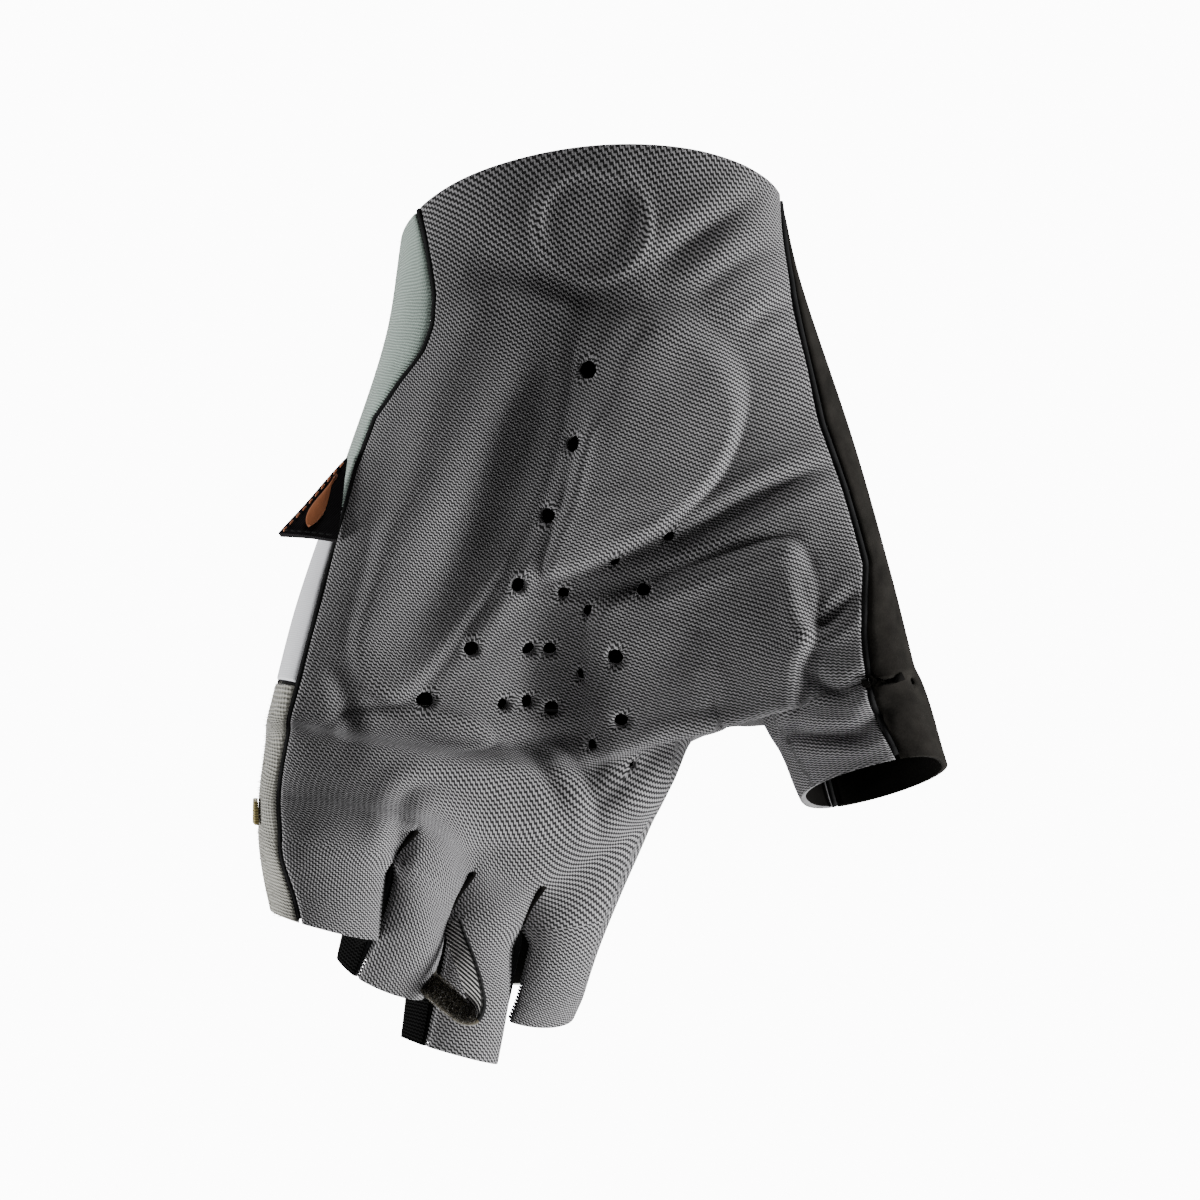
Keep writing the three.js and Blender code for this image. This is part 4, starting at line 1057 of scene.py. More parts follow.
class Effects:
    """The shared effects of the fabrics; their vectors are in millimetres of cloth."""

    def __init__(self) -> None:
        """Build every effect once."""
        self.mesh_weave = self.build_mesh_weave()
        self.rib_knit = self.build_rib_knit()
        self.nap = self.build_nap()
        self.herringbone = self.build_herringbone()

    @staticmethod
    def build_mesh_weave() -> bpy.types.NodeTree:
        """Rows of wavy light threads on a dark ground."""
        sizes = {"Across": 0.82, "Along": 0.59, "Wave": 0.40}
        desk, given, out = effect("mesh weave", sizes, ["Thread", "Height"])
        wobble = desk.noise(given.outputs["Vector"], 0.13, 1.0)
        xyz = desk.add("ShaderNodeSeparateXYZ", {0: given.outputs["Vector"]})
        x = desk.sum("DIVIDE", xyz.outputs[0], given.outputs["Across"])
        y = desk.sum("DIVIDE", xyz.outputs[1], given.outputs["Along"])
        wave = desk.sum("MULTIPLY", desk.sum("PINGPONG", x, 0.5), given.outputs["Wave"])
        row = desk.sum("ADD", desk.sum("MULTIPLY_ADD", wave, 2.0, y), desk.sum("MULTIPLY", wobble, 0.9))
        ridge = desk.ripple(row)
        dash = desk.ripple(desk.sum("ADD", x, 0.25))
        thread = desk.between(ridge, 0.34, 0.78)
        grain = desk.noise(given.outputs["Vector"], 2.6, 2.0, 0.7)
        worn = desk.sum("MULTIPLY", thread, desk.sum("MULTIPLY_ADD", dash, 0.40, 0.60))
        worn = desk.sum("MULTIPLY", worn, desk.sum("MULTIPLY_ADD", grain, 1.1, 0.42))
        desk.feed(out.inputs["Thread"], worn)
        height = desk.sum("MULTIPLY_ADD", thread, 0.8, desk.sum("MULTIPLY", dash, 0.2))
        desk.feed(out.inputs["Height"], height)
        return desk.tree

    @staticmethod
    def build_rib_knit() -> bpy.types.NodeTree:
        """Fine ribs across the cloth, each made of small loops."""
        desk, given, out = effect("rib knit", {"Rib": 0.5, "Loop": 0.45}, ["Thread", "Height"])
        wobble = desk.noise(given.outputs["Vector"], 0.35, 2.0)
        xyz = desk.add("ShaderNodeSeparateXYZ", {0: given.outputs["Vector"]})
        x = desk.sum("DIVIDE", xyz.outputs[0], given.outputs["Loop"])
        y = desk.sum("DIVIDE", xyz.outputs[1], given.outputs["Rib"])
        y = desk.sum("ADD", y, desk.sum("MULTIPLY", wobble, 1.2))
        rib = desk.ripple(y)
        loop = desk.ripple(desk.sum("ADD", x, desk.sum("FLOOR", y)))
        height = desk.sum("MULTIPLY_ADD", desk.between(rib, 0.1, 0.9), 0.7, desk.sum("MULTIPLY", loop, 0.3))
        desk.feed(out.inputs["Thread"], height)
        desk.feed(out.inputs["Height"], height)
        return desk.tree

    @staticmethod
    def build_nap() -> bpy.types.NodeTree:
        """Short nap: a soft mottle with fine fibres and single bright flecks."""
        desk, given, out = effect("nap", {"Fibre": 4.0, "Mottle": 0.25}, ["Fleck", "Mottle", "Height"])
        fibre = desk.noise(given.outputs["Vector"], given.outputs["Fibre"], 4.0, 0.7)
        mottle = desk.noise(given.outputs["Vector"], given.outputs["Mottle"], 3.0, 0.6)
        desk.feed(out.inputs["Fleck"], desk.between(fibre, 0.60, 0.78))
        desk.feed(out.inputs["Mottle"], mottle)
        desk.feed(out.inputs["Height"], fibre)
        return desk.tree

    @staticmethod
    def build_herringbone() -> bpy.types.NodeTree:
        """Twill ribs that meet in chevrons along the middle of a band."""
        desk, given, out = effect("herringbone", {"Rib": 1.1, "Slant": 1.3}, ["Thread", "Height"])
        xyz = desk.add("ShaderNodeSeparateXYZ", {0: given.outputs["Vector"]})
        slope = desk.sum("MULTIPLY", desk.sum("ABSOLUTE", xyz.outputs[0]), given.outputs["Slant"])
        row = desk.sum("DIVIDE", desk.sum("ADD", xyz.outputs[1], slope), given.outputs["Rib"])
        rib = desk.ripple(row)
        middle = desk.between(desk.sum("ABSOLUTE", xyz.outputs[0]), 0.05, 0.35)
        grain = desk.noise(given.outputs["Vector"], 4.0, 2.0, 0.6)
        thread = desk.sum("MULTIPLY", desk.between(rib, 0.35, 0.8), middle)
        worn = desk.sum("MULTIPLY", thread, desk.sum("MULTIPLY_ADD", grain, 0.9, 0.5))
        desk.feed(out.inputs["Thread"], worn)
        desk.feed(out.inputs["Height"], thread)
        return desk.tree


class Fabric(Enum):
    """Kinds of fabric surface."""

    MESH = "mesh weave"
    KNIT = "rib knit"
    NAP = "nap"
    TWILL = "herringbone"


@dataclass(frozen=True)
class Finish:
    """One fabric finish: its dark and light colours, surface and pattern sizes in millimetres."""

    name: str
    fabric: Fabric
    dark: tuple[float, float, float]
    light: tuple[float, float, float]
    pattern: tuple[float, ...]
    roughness: float = 0.85
    bump: float = 0.5
    relief: float = 0.12
    sheen: float = 0.15
    uneven: float = 0.25
    shine: float = 0.3

    def material(self, effects: Effects) -> bpy.types.Material:
        """Build the finish.

        Args:
            effects: The shared effects.

        Returns:
            The material, which reads the piece's own cloth coordinates.
        """
        material = bpy.data.materials.new(self.name)
        material.use_nodes = True
        desk = NodeDesk(material.node_tree)
        shader = material.node_tree.nodes["Principled BSDF"]
        cloth = desk.add("ShaderNodeUVMap", uv_map="cloth").outputs[0]
        groups = {Fabric.MESH: effects.mesh_weave, Fabric.KNIT: effects.rib_knit, Fabric.NAP: effects.nap,
                  Fabric.TWILL: effects.herringbone}
        node = desk.group(groups[self.fabric], Vector=cloth)
        for socket, value in zip(list(node.inputs)[1:], self.pattern):
            socket.default_value = value
        tone = desk.noise(cloth, 0.07, 3.0, 0.6)
        fuzz = desk.noise(cloth, 3.1, 2.0, 0.7)
        if self.fabric is Fabric.NAP:
            mottle = desk.sum("MULTIPLY", node.outputs["Mottle"], 0.5)
            share = desk.sum("MULTIPLY_ADD", node.outputs["Fleck"], 0.65, mottle)
        else:
            share = desk.sum("MULTIPLY", node.outputs["Thread"], desk.sum("MULTIPLY_ADD", fuzz, 0.5, 0.75))
        colour = desk.blend(share, (*self.dark, 1), (*self.light, 1))
        value = desk.sum("MULTIPLY_ADD", tone, 2 * self.uneven, 1 - self.uneven)
        colour = desk.add("ShaderNodeHueSaturation", {"Value": value, "Color": colour}).outputs[0]
        desk.feed(shader.inputs["Base Color"], colour)
        rough = desk.sum("MULTIPLY_ADD", node.outputs["Height"], -0.12, self.roughness + 0.06)
        desk.feed(shader.inputs["Roughness"], rough)
        shader.inputs["Sheen Weight"].default_value = self.sheen
        shader.inputs["Sheen Roughness"].default_value = 0.5
        shader.inputs["Specular IOR Level"].default_value = self.shine
        height = desk.sum("MULTIPLY_ADD", fuzz, 0.35, node.outputs["Height"])
        depth = {"Strength": self.bump, "Distance": self.relief * MM, "Height": height}
        desk.feed(shader.inputs["Normal"], desk.add("ShaderNodeBump", depth).outputs[0])
        return material


PALM = Finish("palm mesh", Fabric.MESH, (0.007, 0.0067, 0.0074), (0.42, 0.412, 0.424), (0.82, 0.59, 0.40),
              roughness=0.78, bump=0.55, relief=0.16, sheen=0.06, uneven=0.16)
SAGE = Finish("sage rib knit", Fabric.KNIT, (0.20, 0.27, 0.235), (0.47, 0.56, 0.50), (0.52, 0.40),
              roughness=0.9, bump=0.6, relief=0.2, sheen=0.35, uneven=0.18)
WHITE = Finish("white stretch knit", Fabric.KNIT, (0.70, 0.71, 0.74), (0.88, 0.885, 0.91), (0.34, 0.30),
               roughness=0.75, bump=0.25, relief=0.08, sheen=0.2, uneven=0.05)
CREAM = Finish("cream fuzzy knit", Fabric.KNIT, (0.16, 0.155, 0.125), (0.50, 0.49, 0.44), (0.75, 0.62),
               roughness=0.95, bump=0.8, relief=0.35, sheen=0.5, uneven=0.14)
SUEDE = Finish("black suede", Fabric.NAP, (0.0015, 0.0014, 0.0013), (0.060, 0.055, 0.048), (4.6, 0.20),
               roughness=0.97, bump=0.7, relief=0.12, sheen=0.01, uneven=0.45, shine=0.04)
# Gusset fabric: black side mesh in the palm's weave, its colours taken darker still as painted shade of the
# finger sides.
GUSSET_BLACK_AND_PAINTED_SHADE = Finish("black side mesh and painted shade", Fabric.MESH, (0.0006, 0.0006, 0.0006), (0.011, 0.011, 0.011),
                (0.82, 0.59, 0.40), roughness=0.95, bump=0.5, relief=0.12, sheen=0.0, uneven=0.2,
                shine=0.02)
LINING = Finish("dark lining", Fabric.NAP, (0.003, 0.0028, 0.0026), (0.010, 0.009, 0.008), (2.2, 0.3),
                roughness=0.95, bump=0.5, relief=0.15, sheen=0.0, uneven=0.2, shine=0.04)
RAW_EDGE = Finish("raw palm edge", Fabric.NAP, (0.06, 0.06, 0.062), (0.42, 0.41, 0.42), (2.4, 0.5),
                  roughness=0.9, bump=0.6, relief=0.2, sheen=0.2, uneven=0.3)
PALE_EDGE = Finish("pale knit edge", Fabric.NAP, (0.45, 0.46, 0.42), (0.86, 0.86, 0.82), (2.0, 0.4),
                   roughness=0.95, bump=0.7, relief=0.3, sheen=0.4, uneven=0.1)
TWILL = Finish("herringbone webbing", Fabric.TWILL, (0.008, 0.008, 0.008), (0.72, 0.70, 0.68), (1.15, 1.3),
               roughness=0.8, bump=0.7, relief=0.25, sheen=0.1, uneven=0.15)
PILE = Finish("olive pile", Fabric.NAP, (0.015, 0.012, 0.006), (0.16, 0.13, 0.07), (2.6, 0.5),
              roughness=0.98, bump=0.9, relief=0.4, sheen=0.4, uneven=0.3)
TAB_TAPE = Finish("black label tape", Fabric.MESH, (0.004, 0.0035, 0.004), (0.016, 0.014, 0.016),
                  (0.42, 0.40, 0.1), roughness=0.8, bump=0.4, relief=0.08, sheen=0.0, uneven=0.2,
                  shine=0.10)
ORANGE = Finish("orange patch", Fabric.NAP, (0.26, 0.078, 0.026), (0.46, 0.165, 0.065), (4.2, 0.3),
                roughness=0.6, bump=0.35, relief=0.08, sheen=0.1, uneven=0.12)
COPPER = Finish("copper thread", Fabric.NAP, (0.40, 0.13, 0.06), (0.78, 0.33, 0.15), (3.0, 0.5),
                roughness=0.5, bump=0.4, relief=0.05, sheen=0.2, uneven=0.1)
OCHRE = Finish("ochre label", Fabric.MESH, (0.13, 0.10, 0.025), (0.42, 0.34, 0.12), (0.5, 0.5, 0.2),
               roughness=0.8, bump=0.6, relief=0.15, sheen=0.2, uneven=0.25)
BLACK_THREAD = Finish("black thread", Fabric.NAP, (0.003, 0.003, 0.003), (0.030, 0.030, 0.032), (3.0, 0.5),
                      roughness=0.85, bump=0.5, relief=0.08, sheen=0.02, uneven=0.2, shine=0.10)
GREY_THREAD = Finish("grey thread", Fabric.NAP, (0.04, 0.04, 0.042), (0.26, 0.255, 0.26), (3.0, 0.5),
                     roughness=0.8, bump=0.5, relief=0.08, sheen=0.2, uneven=0.2)


class Wardrobe:
    """The finishes of the glove, each built once."""

    def __init__(self) -> None:
        """Build the shared effects."""
        self.effects = Effects()
        self.made: dict[str, bpy.types.Material] = {}

    def __call__(self, finish: Finish) -> bpy.types.Material:
        """Return the material of a finish."""
        if finish.name not in self.made:
            self.made[finish.name] = finish.material(self.effects)
        return self.made[finish.name]


@dataclass
class Thread:
    """A run of separate stitches along a line of points with outward directions."""

    name: str
    finish: Finish
    slot: str
    length: float = 2.0
    pitch: float = 2.8
    thick: float = 0.55
    slant: float = 0.0

    def sew(self, runs: list[tuple[Array, Array]], wardrobe: Wardrobe) -> bpy.types.Object:
        """Place the stitches.

        Args:
            runs: Points in millimetres and outward directions of each run.
            wardrobe: The finishes.

        Returns:
            The piece.
        """
        bm = bmesh.new()
        for points, normals in runs:
            steps = np.linalg.norm(np.diff(points, axis=0), axis=1)
            arc = np.append(0.0, np.cumsum(steps))
            for s in np.arange(self.pitch / 2, arc[-1] - self.pitch / 4, self.pitch):
                at = np.array([np.interp(s, arc, points[:, k]) for k in range(3)])
                ahead = np.array([np.interp(min(s + 0.2, arc[-1]), arc, points[:, k]) for k in range(3)])
                behind = np.array([np.interp(s - 0.2, arc, points[:, k]) for k in range(3)])
                up = unit(np.array([np.interp(s, arc, normals[:, k]) for k in range(3)]))
                along = unit(ahead - behind)
                side = unit(np.cross(up, along))
                turn = math.radians(self.slant)
                long = unit(along * math.cos(turn) + side * math.sin(turn))
                wide = np.cross(up, long)
                frame = Matrix([[*row, 0] for row in np.stack([long * self.length / 2, wide * self.thick / 2,
                                                               up * self.thick / 2], 1)] + [[0, 0, 0, 1]])
                move = Matrix.Translation(Vector(at))
                bmesh.ops.create_uvsphere(bm, u_segments=6, v_segments=5, radius=1.0,
                                          matrix=move @ frame @ Matrix.Rotation(math.pi / 2, 4, "Y"))
        for face in bm.faces:
            face.smooth = True
        map_threads(bm)
        bmesh.ops.recalc_face_normals(bm, faces=bm.faces[:])
        return wear(make_piece(bm, self.name, [wardrobe(self.finish)]), self.slot)


@dataclass
class Tufts:
    """Loose fibres that stand out of a fuzzy fabric."""

    name: str
    finish: Finish
    slot: str
    length: float
    thick: float
    each: int
    seed: int
    spread: float = 0.8

    def grow(self, roots: Array, ways: Array, wardrobe: Wardrobe) -> bpy.types.Object:
        """Place the fibres.

        Args:
            roots: Points in millimetres that the fibres grow from.
            ways: Outward direction at each point.
            wardrobe: The finishes.

        Returns:
            The piece.
        """
        draw = np.random.default_rng(self.seed)
        bm = bmesh.new()
        for root, way in zip(roots, ways):
            for _ in range(self.each):
                lean = unit(way + draw.normal(0, self.spread, 3) * 0.6)
                length = self.length * draw.uniform(0.5, 1.15)
                start = root + draw.normal(0, 0.22, 3)
                turn = Vector(lean).to_track_quat("Z", "Y").to_matrix().to_4x4()
                where = Matrix.Translation(Vector(start + lean * length * 0.4)) @ turn
                bmesh.ops.create_cone(bm, cap_ends=True, segments=3, radius1=self.thick,
                                      radius2=self.thick * 0.3, depth=length, matrix=where)
        map_threads(bm)
        return wear(make_piece(bm, self.name, [wardrobe(self.finish)]), self.slot)


def declare(piece: bpy.types.Object) -> bpy.types.Object:
    """Read the flat cloth coordinates of a fabric panel's finished mesh; they are not passed on.

    Args:
        piece: The panel; its cloth map holds its flat coordinates in millimetres.

    Returns:
        The panel.
    """
    graph = bpy.context.evaluated_depsgraph_get()
    shaped = piece.evaluated_get(graph).to_mesh()
    flat = np.empty(2 * len(shaped.loops))
    shaped.uv_layers["cloth"].data.foreach_get("uv", flat)
    piece.evaluated_get(graph).to_mesh_clear()
    return piece


def wear(piece: bpy.types.Object, slot: str, *nodes: str) -> bpy.types.Object:
    """Make a piece ride on the glove, standing for frame nodes."""
    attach(piece, "root")
    if nodes:
        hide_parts(*nodes)
    return piece


def tube(name: str, runs: list[Array], radius: float, finish: Finish, slot: str, wardrobe: Wardrobe
         ) -> bpy.types.Object:
    """Make rounded seam cords along lines of points.

    Args:
        name: Name of the piece.
        runs: Points of each cord in millimetres.
        radius: Radius in millimetres.
        finish: Its finish.
        slot: Not used.
        wardrobe: The finishes.

    Returns:
        The piece.
    """
    bm = bmesh.new()
    uv = bm.loops.layers.uv.new("cloth")
    around = 8
    for points in runs:
        arc = np.append(0.0, np.cumsum(np.linalg.norm(np.diff(points, axis=0), axis=1)))
        rows = len(points)
        tangent = unit(np.gradient(points, axis=0))
        side = unit(np.cross(tangent, np.array([0.05, 1.0, 0.1])))
        up = np.cross(side, tangent)
        grid = bmesh.ops.create_grid(bm, x_segments=around, y_segments=rows - 1, size=0.5)
        verts = {}
        for vert in grid["verts"]:
            column, row = round((vert.co.x + 0.5) * around), rows - 1 - round((vert.co.y + 0.5) * (rows - 1))
            angle = 2 * math.pi * column / around
            vert.co = points[row] + (side[row] * math.cos(angle) + up[row] * math.sin(angle)) * radius
            verts[vert] = (column * radius * 0.8, arc[row])
        for face in {face for vert in grid["verts"] for face in vert.link_faces}:
            face.smooth = True
            for loop in face.loops:
                loop[uv].uv = verts[loop.vert]
    bmesh.ops.remove_doubles(bm, verts=bm.verts[:], dist=0.001)
    bmesh.ops.holes_fill(bm, edges=[edge for edge in bm.edges if edge.is_boundary], sides=around)
    bmesh.ops.recalc_face_normals(bm, faces=bm.faces[:])
    return wear(make_piece(bm, name, [wardrobe(finish)]), slot)


@dataclass
class Part:
    """A sub-assembly of the glove, made with the shared panel maker and finishes."""

    maker: PanelMaker
    wardrobe: Wardrobe

    def dress(self, *finishes: Finish) -> list[bpy.types.Material]:
        """Return the materials of some finishes."""
        return [self.wardrobe(finish) for finish in finishes]


@dataclass
class Palm(Part):
    """The grey mesh palm in one piece with the finger fronts, the thumb front and the thumb web."""

    def strips(self) -> list[Strip]:
        """Lay out the strips of the palm from left to right."""
        pitch = self.maker.PITCH
        body = stations(WEB_AT, CROTCH_AT, pitch)
        made = []
        for finger in FINGERS:
            at = trunk_and(body, stations(CROTCH_AT, finger.end, pitch, True, True))
            made.append(self.maker.front(finger, at))
        thumb_run = stations(WEB_AT, THUMB.end, pitch, False, True)
        thumb = self.maker.front(THUMB, trunk_and(thumb_run))
        index_run = np.concatenate([body, stations(CROTCH_AT, INDEX.end, pitch, True, True)[1:]])
        web_right = self.maker.side(INDEX, True, index_run, 26, (0.0, WEB_INSET))
        web_left = self.maker.side(THUMB, False, thumb_run, 26, (0.0, WEB_INSET), web_right.points[0])
        front = [*made, thumb]
        PanelMaker.lay_out(front, True, anchor=2)
        PanelMaker.lay_out([web_right])
        PanelMaker.lay_out([web_left])
        for strip, partner in ((web_right, front[3]), (web_left, thumb)):
            strip.cloth[..., 0] += partner.cloth[-1, -1, 0]
        turn = math.radians(PALM_GRAIN)
        grain = np.array([[math.cos(turn), math.sin(turn)], [-math.sin(turn), math.cos(turn)]])
        for strip in (*front, web_right, web_left):
            strip.cloth = strip.cloth @ grain
        return [*front, web_right, web_left]

    def build(self) -> list[bpy.types.Object]:
        """Build the palm with its perforations."""
        strips = self.strips()
        materials = self.dress(PALM, LINING, RAW_EDGE)
        holes = [(front_place(strips[:5], across, along), bore) for across, along, bore in PERFORATIONS]
        piece = PanelMaker.mesh("palm_mesh", strips, materials, slack=PalmRelief.slack, holes=holes)
        return [declare(wear(piece, "palm", "palm_panel"))]


@dataclass
class BackPanels(Part):
    """The knit backs: ribbed cuff, smooth hand panel and fuzzy finger panel."""

    def panel(self, name: str, node: str, slot: str, finish: Finish, rows: Callable[[Digit], Array]
              ) -> bpy.types.Object:
        """Build one panel across the four fingers and round the little finger edge.

        Args:
            name: Name of the piece.
            node: The frame node that it stands for.
            slot: Not used.
            finish: Its outer finish.
            rows: Gives the stations of its rows on a finger.

        Returns:
            The piece.
        """
        strips = [self.maker.back(finger, rows(finger)) for finger in reversed(FINGERS)]
        strips.append(self.maker.wrap(LITTLE, rows(LITTLE)))
        for strip in strips:
            down = (strip.run - strip.run[0])[:, None]
            strip.sink = np.maximum(strip.sink, roll_over(down, 0.5))
            strip.sink = np.maximum(strip.sink, roll_over(down[-1] - down, 0.5))
        PanelMaker.lay_out(strips, True)
        materials = self.dress(finish, LINING, PALE_EDGE)
        piece = PanelMaker.mesh(name, strips, materials)
        return declare(wear(piece, slot, node))

    def build(self) -> list[bpy.types.Object]:
        """Build the three panels."""
        pitch = 0.8
        gap = SEAM_GAP / REACH
        cuff = stations(0, CUFF_BACK_END - gap, pitch, True, True)
        hand = stations(CUFF_BACK_END, HAND_BACK_END - gap, pitch, True, True)

        def finger_rows(finger: Digit) -> Array:
            """Stations of the finger panel on one finger."""
            body = stations(HAND_BACK_END, CROTCH_AT, pitch, True, False)
            return np.concatenate([body, stations(CROTCH_AT, finger.end, pitch, True, True)[1:]])

        return [
            self.panel("cuff_knit", "cuff_back", "sage", SAGE, lambda finger: cuff),
            self.panel("hand_knit", "hand_back", "white", WHITE, lambda finger: hand),
            self.panel("finger_knit", "finger_back", "cream", CREAM, finger_rows),
        ]


@dataclass
class ThumbSuede(Part):
    """The black suede panel along the thumb edge."""

    def build(self) -> list[bpy.types.Object]:
        """Build the panel with its small hole."""
        at = trunk_and(stations(WEB_AT, THUMB.end, self.maker.PITCH, False, True))
        strips = [self.maker.wrap(THUMB, at), self.maker.back(THUMB, at)]
        PanelMaker.lay_out(strips, True)
        materials = self.dress(SUEDE, LINING, SUEDE)
        across, along, bore = SUEDE_HOLE
        holes = [(front_place(strips[:1], across, along), bore)]
        piece = PanelMaker.mesh("thumb_suede", strips, materials, holes=holes)
        return [declare(wear(piece, "suede", "thumb_back"))]


@dataclass
class Gussets(Part):
    """The black side walls between the fingers with their overlocked edges; their black is taken darker still
    as painted shade of the finger sides.
    """

    def walls(self, left: Digit, right: Digit) -> list[Strip]:
        """Strips of one gusset, joined along the crotch."""
        insets = (CROTCH_INSET, CROTCH_INSET)
        form = self.maker.form
        one = np.ones(1)
        at = np.array([CROTCH_AT, CROTCH_AT - 0.01])
        ends = form.centre(left, np.ones(2), at)
        drop = unit(ends[0] - ends[1]) * CROTCH_DROP
        first = self.maker.side(left, True, one * CROTCH_AT, 16, insets).points[0] + drop
        made = []
        for digit, is_right in ((left, True), (right, False)):
            at = stations(CROTCH_AT, digit.end, 0.8, False, True)
            made.append(self.maker.side(digit, is_right, at, 16, insets, first))
        PanelMaker.lay_out(made)
        return made

    def bridge(self, name: str, left: Digit, right: Digit) -> bpy.types.Object:
        """Build the black fabric that spans the two walls of a gusset between the fingers, darkened further
        as painted shade.
        """
        at = stations(CROTCH_AT, min(left.end, right.end), 0.8)
        insets = (CROTCH_INSET, CROTCH_INSET)
        ends = [self.maker.side(digit, is_right, at, 16, insets).points[:, 7 if is_right else 8]
                for digit, is_right in ((left, True), (right, False))]
        over = np.linspace(0, 1, 9)[None, :, None]
        strip = Strip(lerp(ends[0][:, None], ends[1][:, None], over), np.zeros((len(at), 9)), at=at)
        PanelMaker.lay_out([strip])
        piece = PanelMaker.mesh(name, [strip], self.dress(GUSSET_BLACK_AND_PAINTED_SHADE, GUSSET_BLACK_AND_PAINTED_SHADE, GUSSET_BLACK_AND_PAINTED_SHADE), 0.6, lift=0.3)
        return wear(piece, "gusset")

    def build(self) -> list[bpy.types.Object]:
        """Build the gussets and the bead of overlock thread along their palm edges."""
        pieces, runs = [], []
        pairs = {"gusset_little_ring": (LITTLE, RING), "gusset_ring_middle": (RING, MIDDLE),
                 "gusset_middle_index": (MIDDLE, INDEX)}
        for node, (left, right) in pairs.items():
            strips = self.walls(left, right)
            materials = self.dress(GUSSET_BLACK_AND_PAINTED_SHADE, LINING, GUSSET_BLACK_AND_PAINTED_SHADE)
            wall = PanelMaker.mesh(node.replace("gusset", "wall"), strips, materials)
            pieces.append(declare(wear(wall, "gusset", node)))
            pieces.append(self.bridge(node.replace("gusset", "crotch"), left, right))
            back = np.vstack([strips[0].points[:, -1][::-1], strips[1].points[:, 0][1:]])
            rows = [stations(CROTCH_AT, digit.end, 0.66, False, True) for digit in (left, right)]
            lines = [self.maker.front(digit, at).points for digit, at in zip((left, right), rows)]
            front = np.vstack([lines[0][::-1, -1], lines[1][1:, 0]])
            for line, out in ((front, -1.0), (back, 1.0)):
                runs.append((line, np.tile([0.0, out, 0.2], (len(line), 1))))
        bead = Thread("overlock_beads", GREY_THREAD, "gusset", 1.3, 0.72, 0.62, 62.0)
        pieces.append(bead.sew(runs[0::2], self.wardrobe))
        back = Thread("overlock_beads_back", BLACK_THREAD, "gusset", 1.3, 0.8, 0.6, 62.0)
        pieces.append(back.sew(runs[1::2], self.wardrobe))
        return pieces


@dataclass
class SeamCords(Part):
    """Dark thread that closes the seams between the panels."""

    def line(self, digit: Digit, share: Array, at: Array, side: Side, sink: float = 0.25) -> Array:
        """Points of a seam, sunk into the fabric."""
        points = self.maker.form.skin(digit, share, at, side)
        t = self.maker.form.open_share(digit, share, at)
        sign = 1.0 if side is Side.FRONT else -1.0
        return points - self.maker.form.palmwards(digit, t, at) * sign * sink

    def build(self) -> list[bpy.types.Object]:
        """Build the seam cords."""
        form = self.maker.form
        down = trunk_and(stations(WEB_AT, CROTCH_AT, 1.0), stations(CROTCH_AT, LITTLE.end, 1.0))[::2]
        thumb = trunk_and(stations(WEB_AT, THUMB.end, 1.0))[::2]
        palm_edges = [
            self.line(LITTLE, form.wrap(LITTLE, down), down, Side.FRONT),
            self.line(THUMB, 1 - form.wrap(THUMB, thumb), thumb, Side.FRONT),
        ]
        slit_edges = []
        back_at = trunk_and(np.array([WEB_AT, WEB_AT + 0.004]))[::2]
        right = np.full_like(back_at, 1 - side_share(SIDE_ANGLES["index_web"]))
        back_edges = [self.line(INDEX, right, back_at, Side.BACK)]
        finger_sides = ((finger, is_right) for finger in FINGERS for is_right in (False, True))
        for digit, is_right in ((THUMB, False), (INDEX, True), *finger_sides):
            first = WEB_AT if digit is THUMB or (digit is INDEX and is_right) else CROTCH_AT
            if digit is LITTLE and not is_right:
                continue
            run = stations(first, digit.end, 1.0)
            cut = side_share(form.side_wall(digit, is_right, run)[0])
            share = np.full_like(run, 1 - cut if is_right else cut)
            back_edges.append(self.line(digit, share, run, Side.BACK, 0.1))
            if first == CROTCH_AT:
                slit_edges.append(self.line(digit, share, run, Side.FRONT, 0.75))
        for at_seam in (CUFF_BACK_END - SEAM_GAP / 2 / REACH, HAND_BACK_END - SEAM_GAP / 2 / REACH):
            line = []
            for finger in reversed(FINGERS):
                station = np.array([at_seam])
                left, right_cut = (side_share(form.side_wall(finger, s, station)[0]) for s in (False, True))
                share = np.linspace(1 - right_cut, left, 14)[:-1]
                line.append(self.line(finger, share, np.full_like(share, at_seam), Side.BACK))
            wrap = float(form.wrap(LITTLE, np.array([at_seam]))[0])
            share = wrap * np.linspace(0, 1, 8) ** 2
            line.append(self.line(LITTLE, share, np.full_like(share, at_seam), Side.FRONT))
            back_edges.append(np.vstack(line))
        return [
            tube("palm_seam", palm_edges, 0.64, BLACK_THREAD, "gusset", self.wardrobe),
            tube("back_seams", back_edges, 0.55, BLACK_THREAD, "gusset", self.wardrobe),
            tube("slit_seams", slit_edges, 0.75, BLACK_THREAD, "gusset", self.wardrobe),
        ]


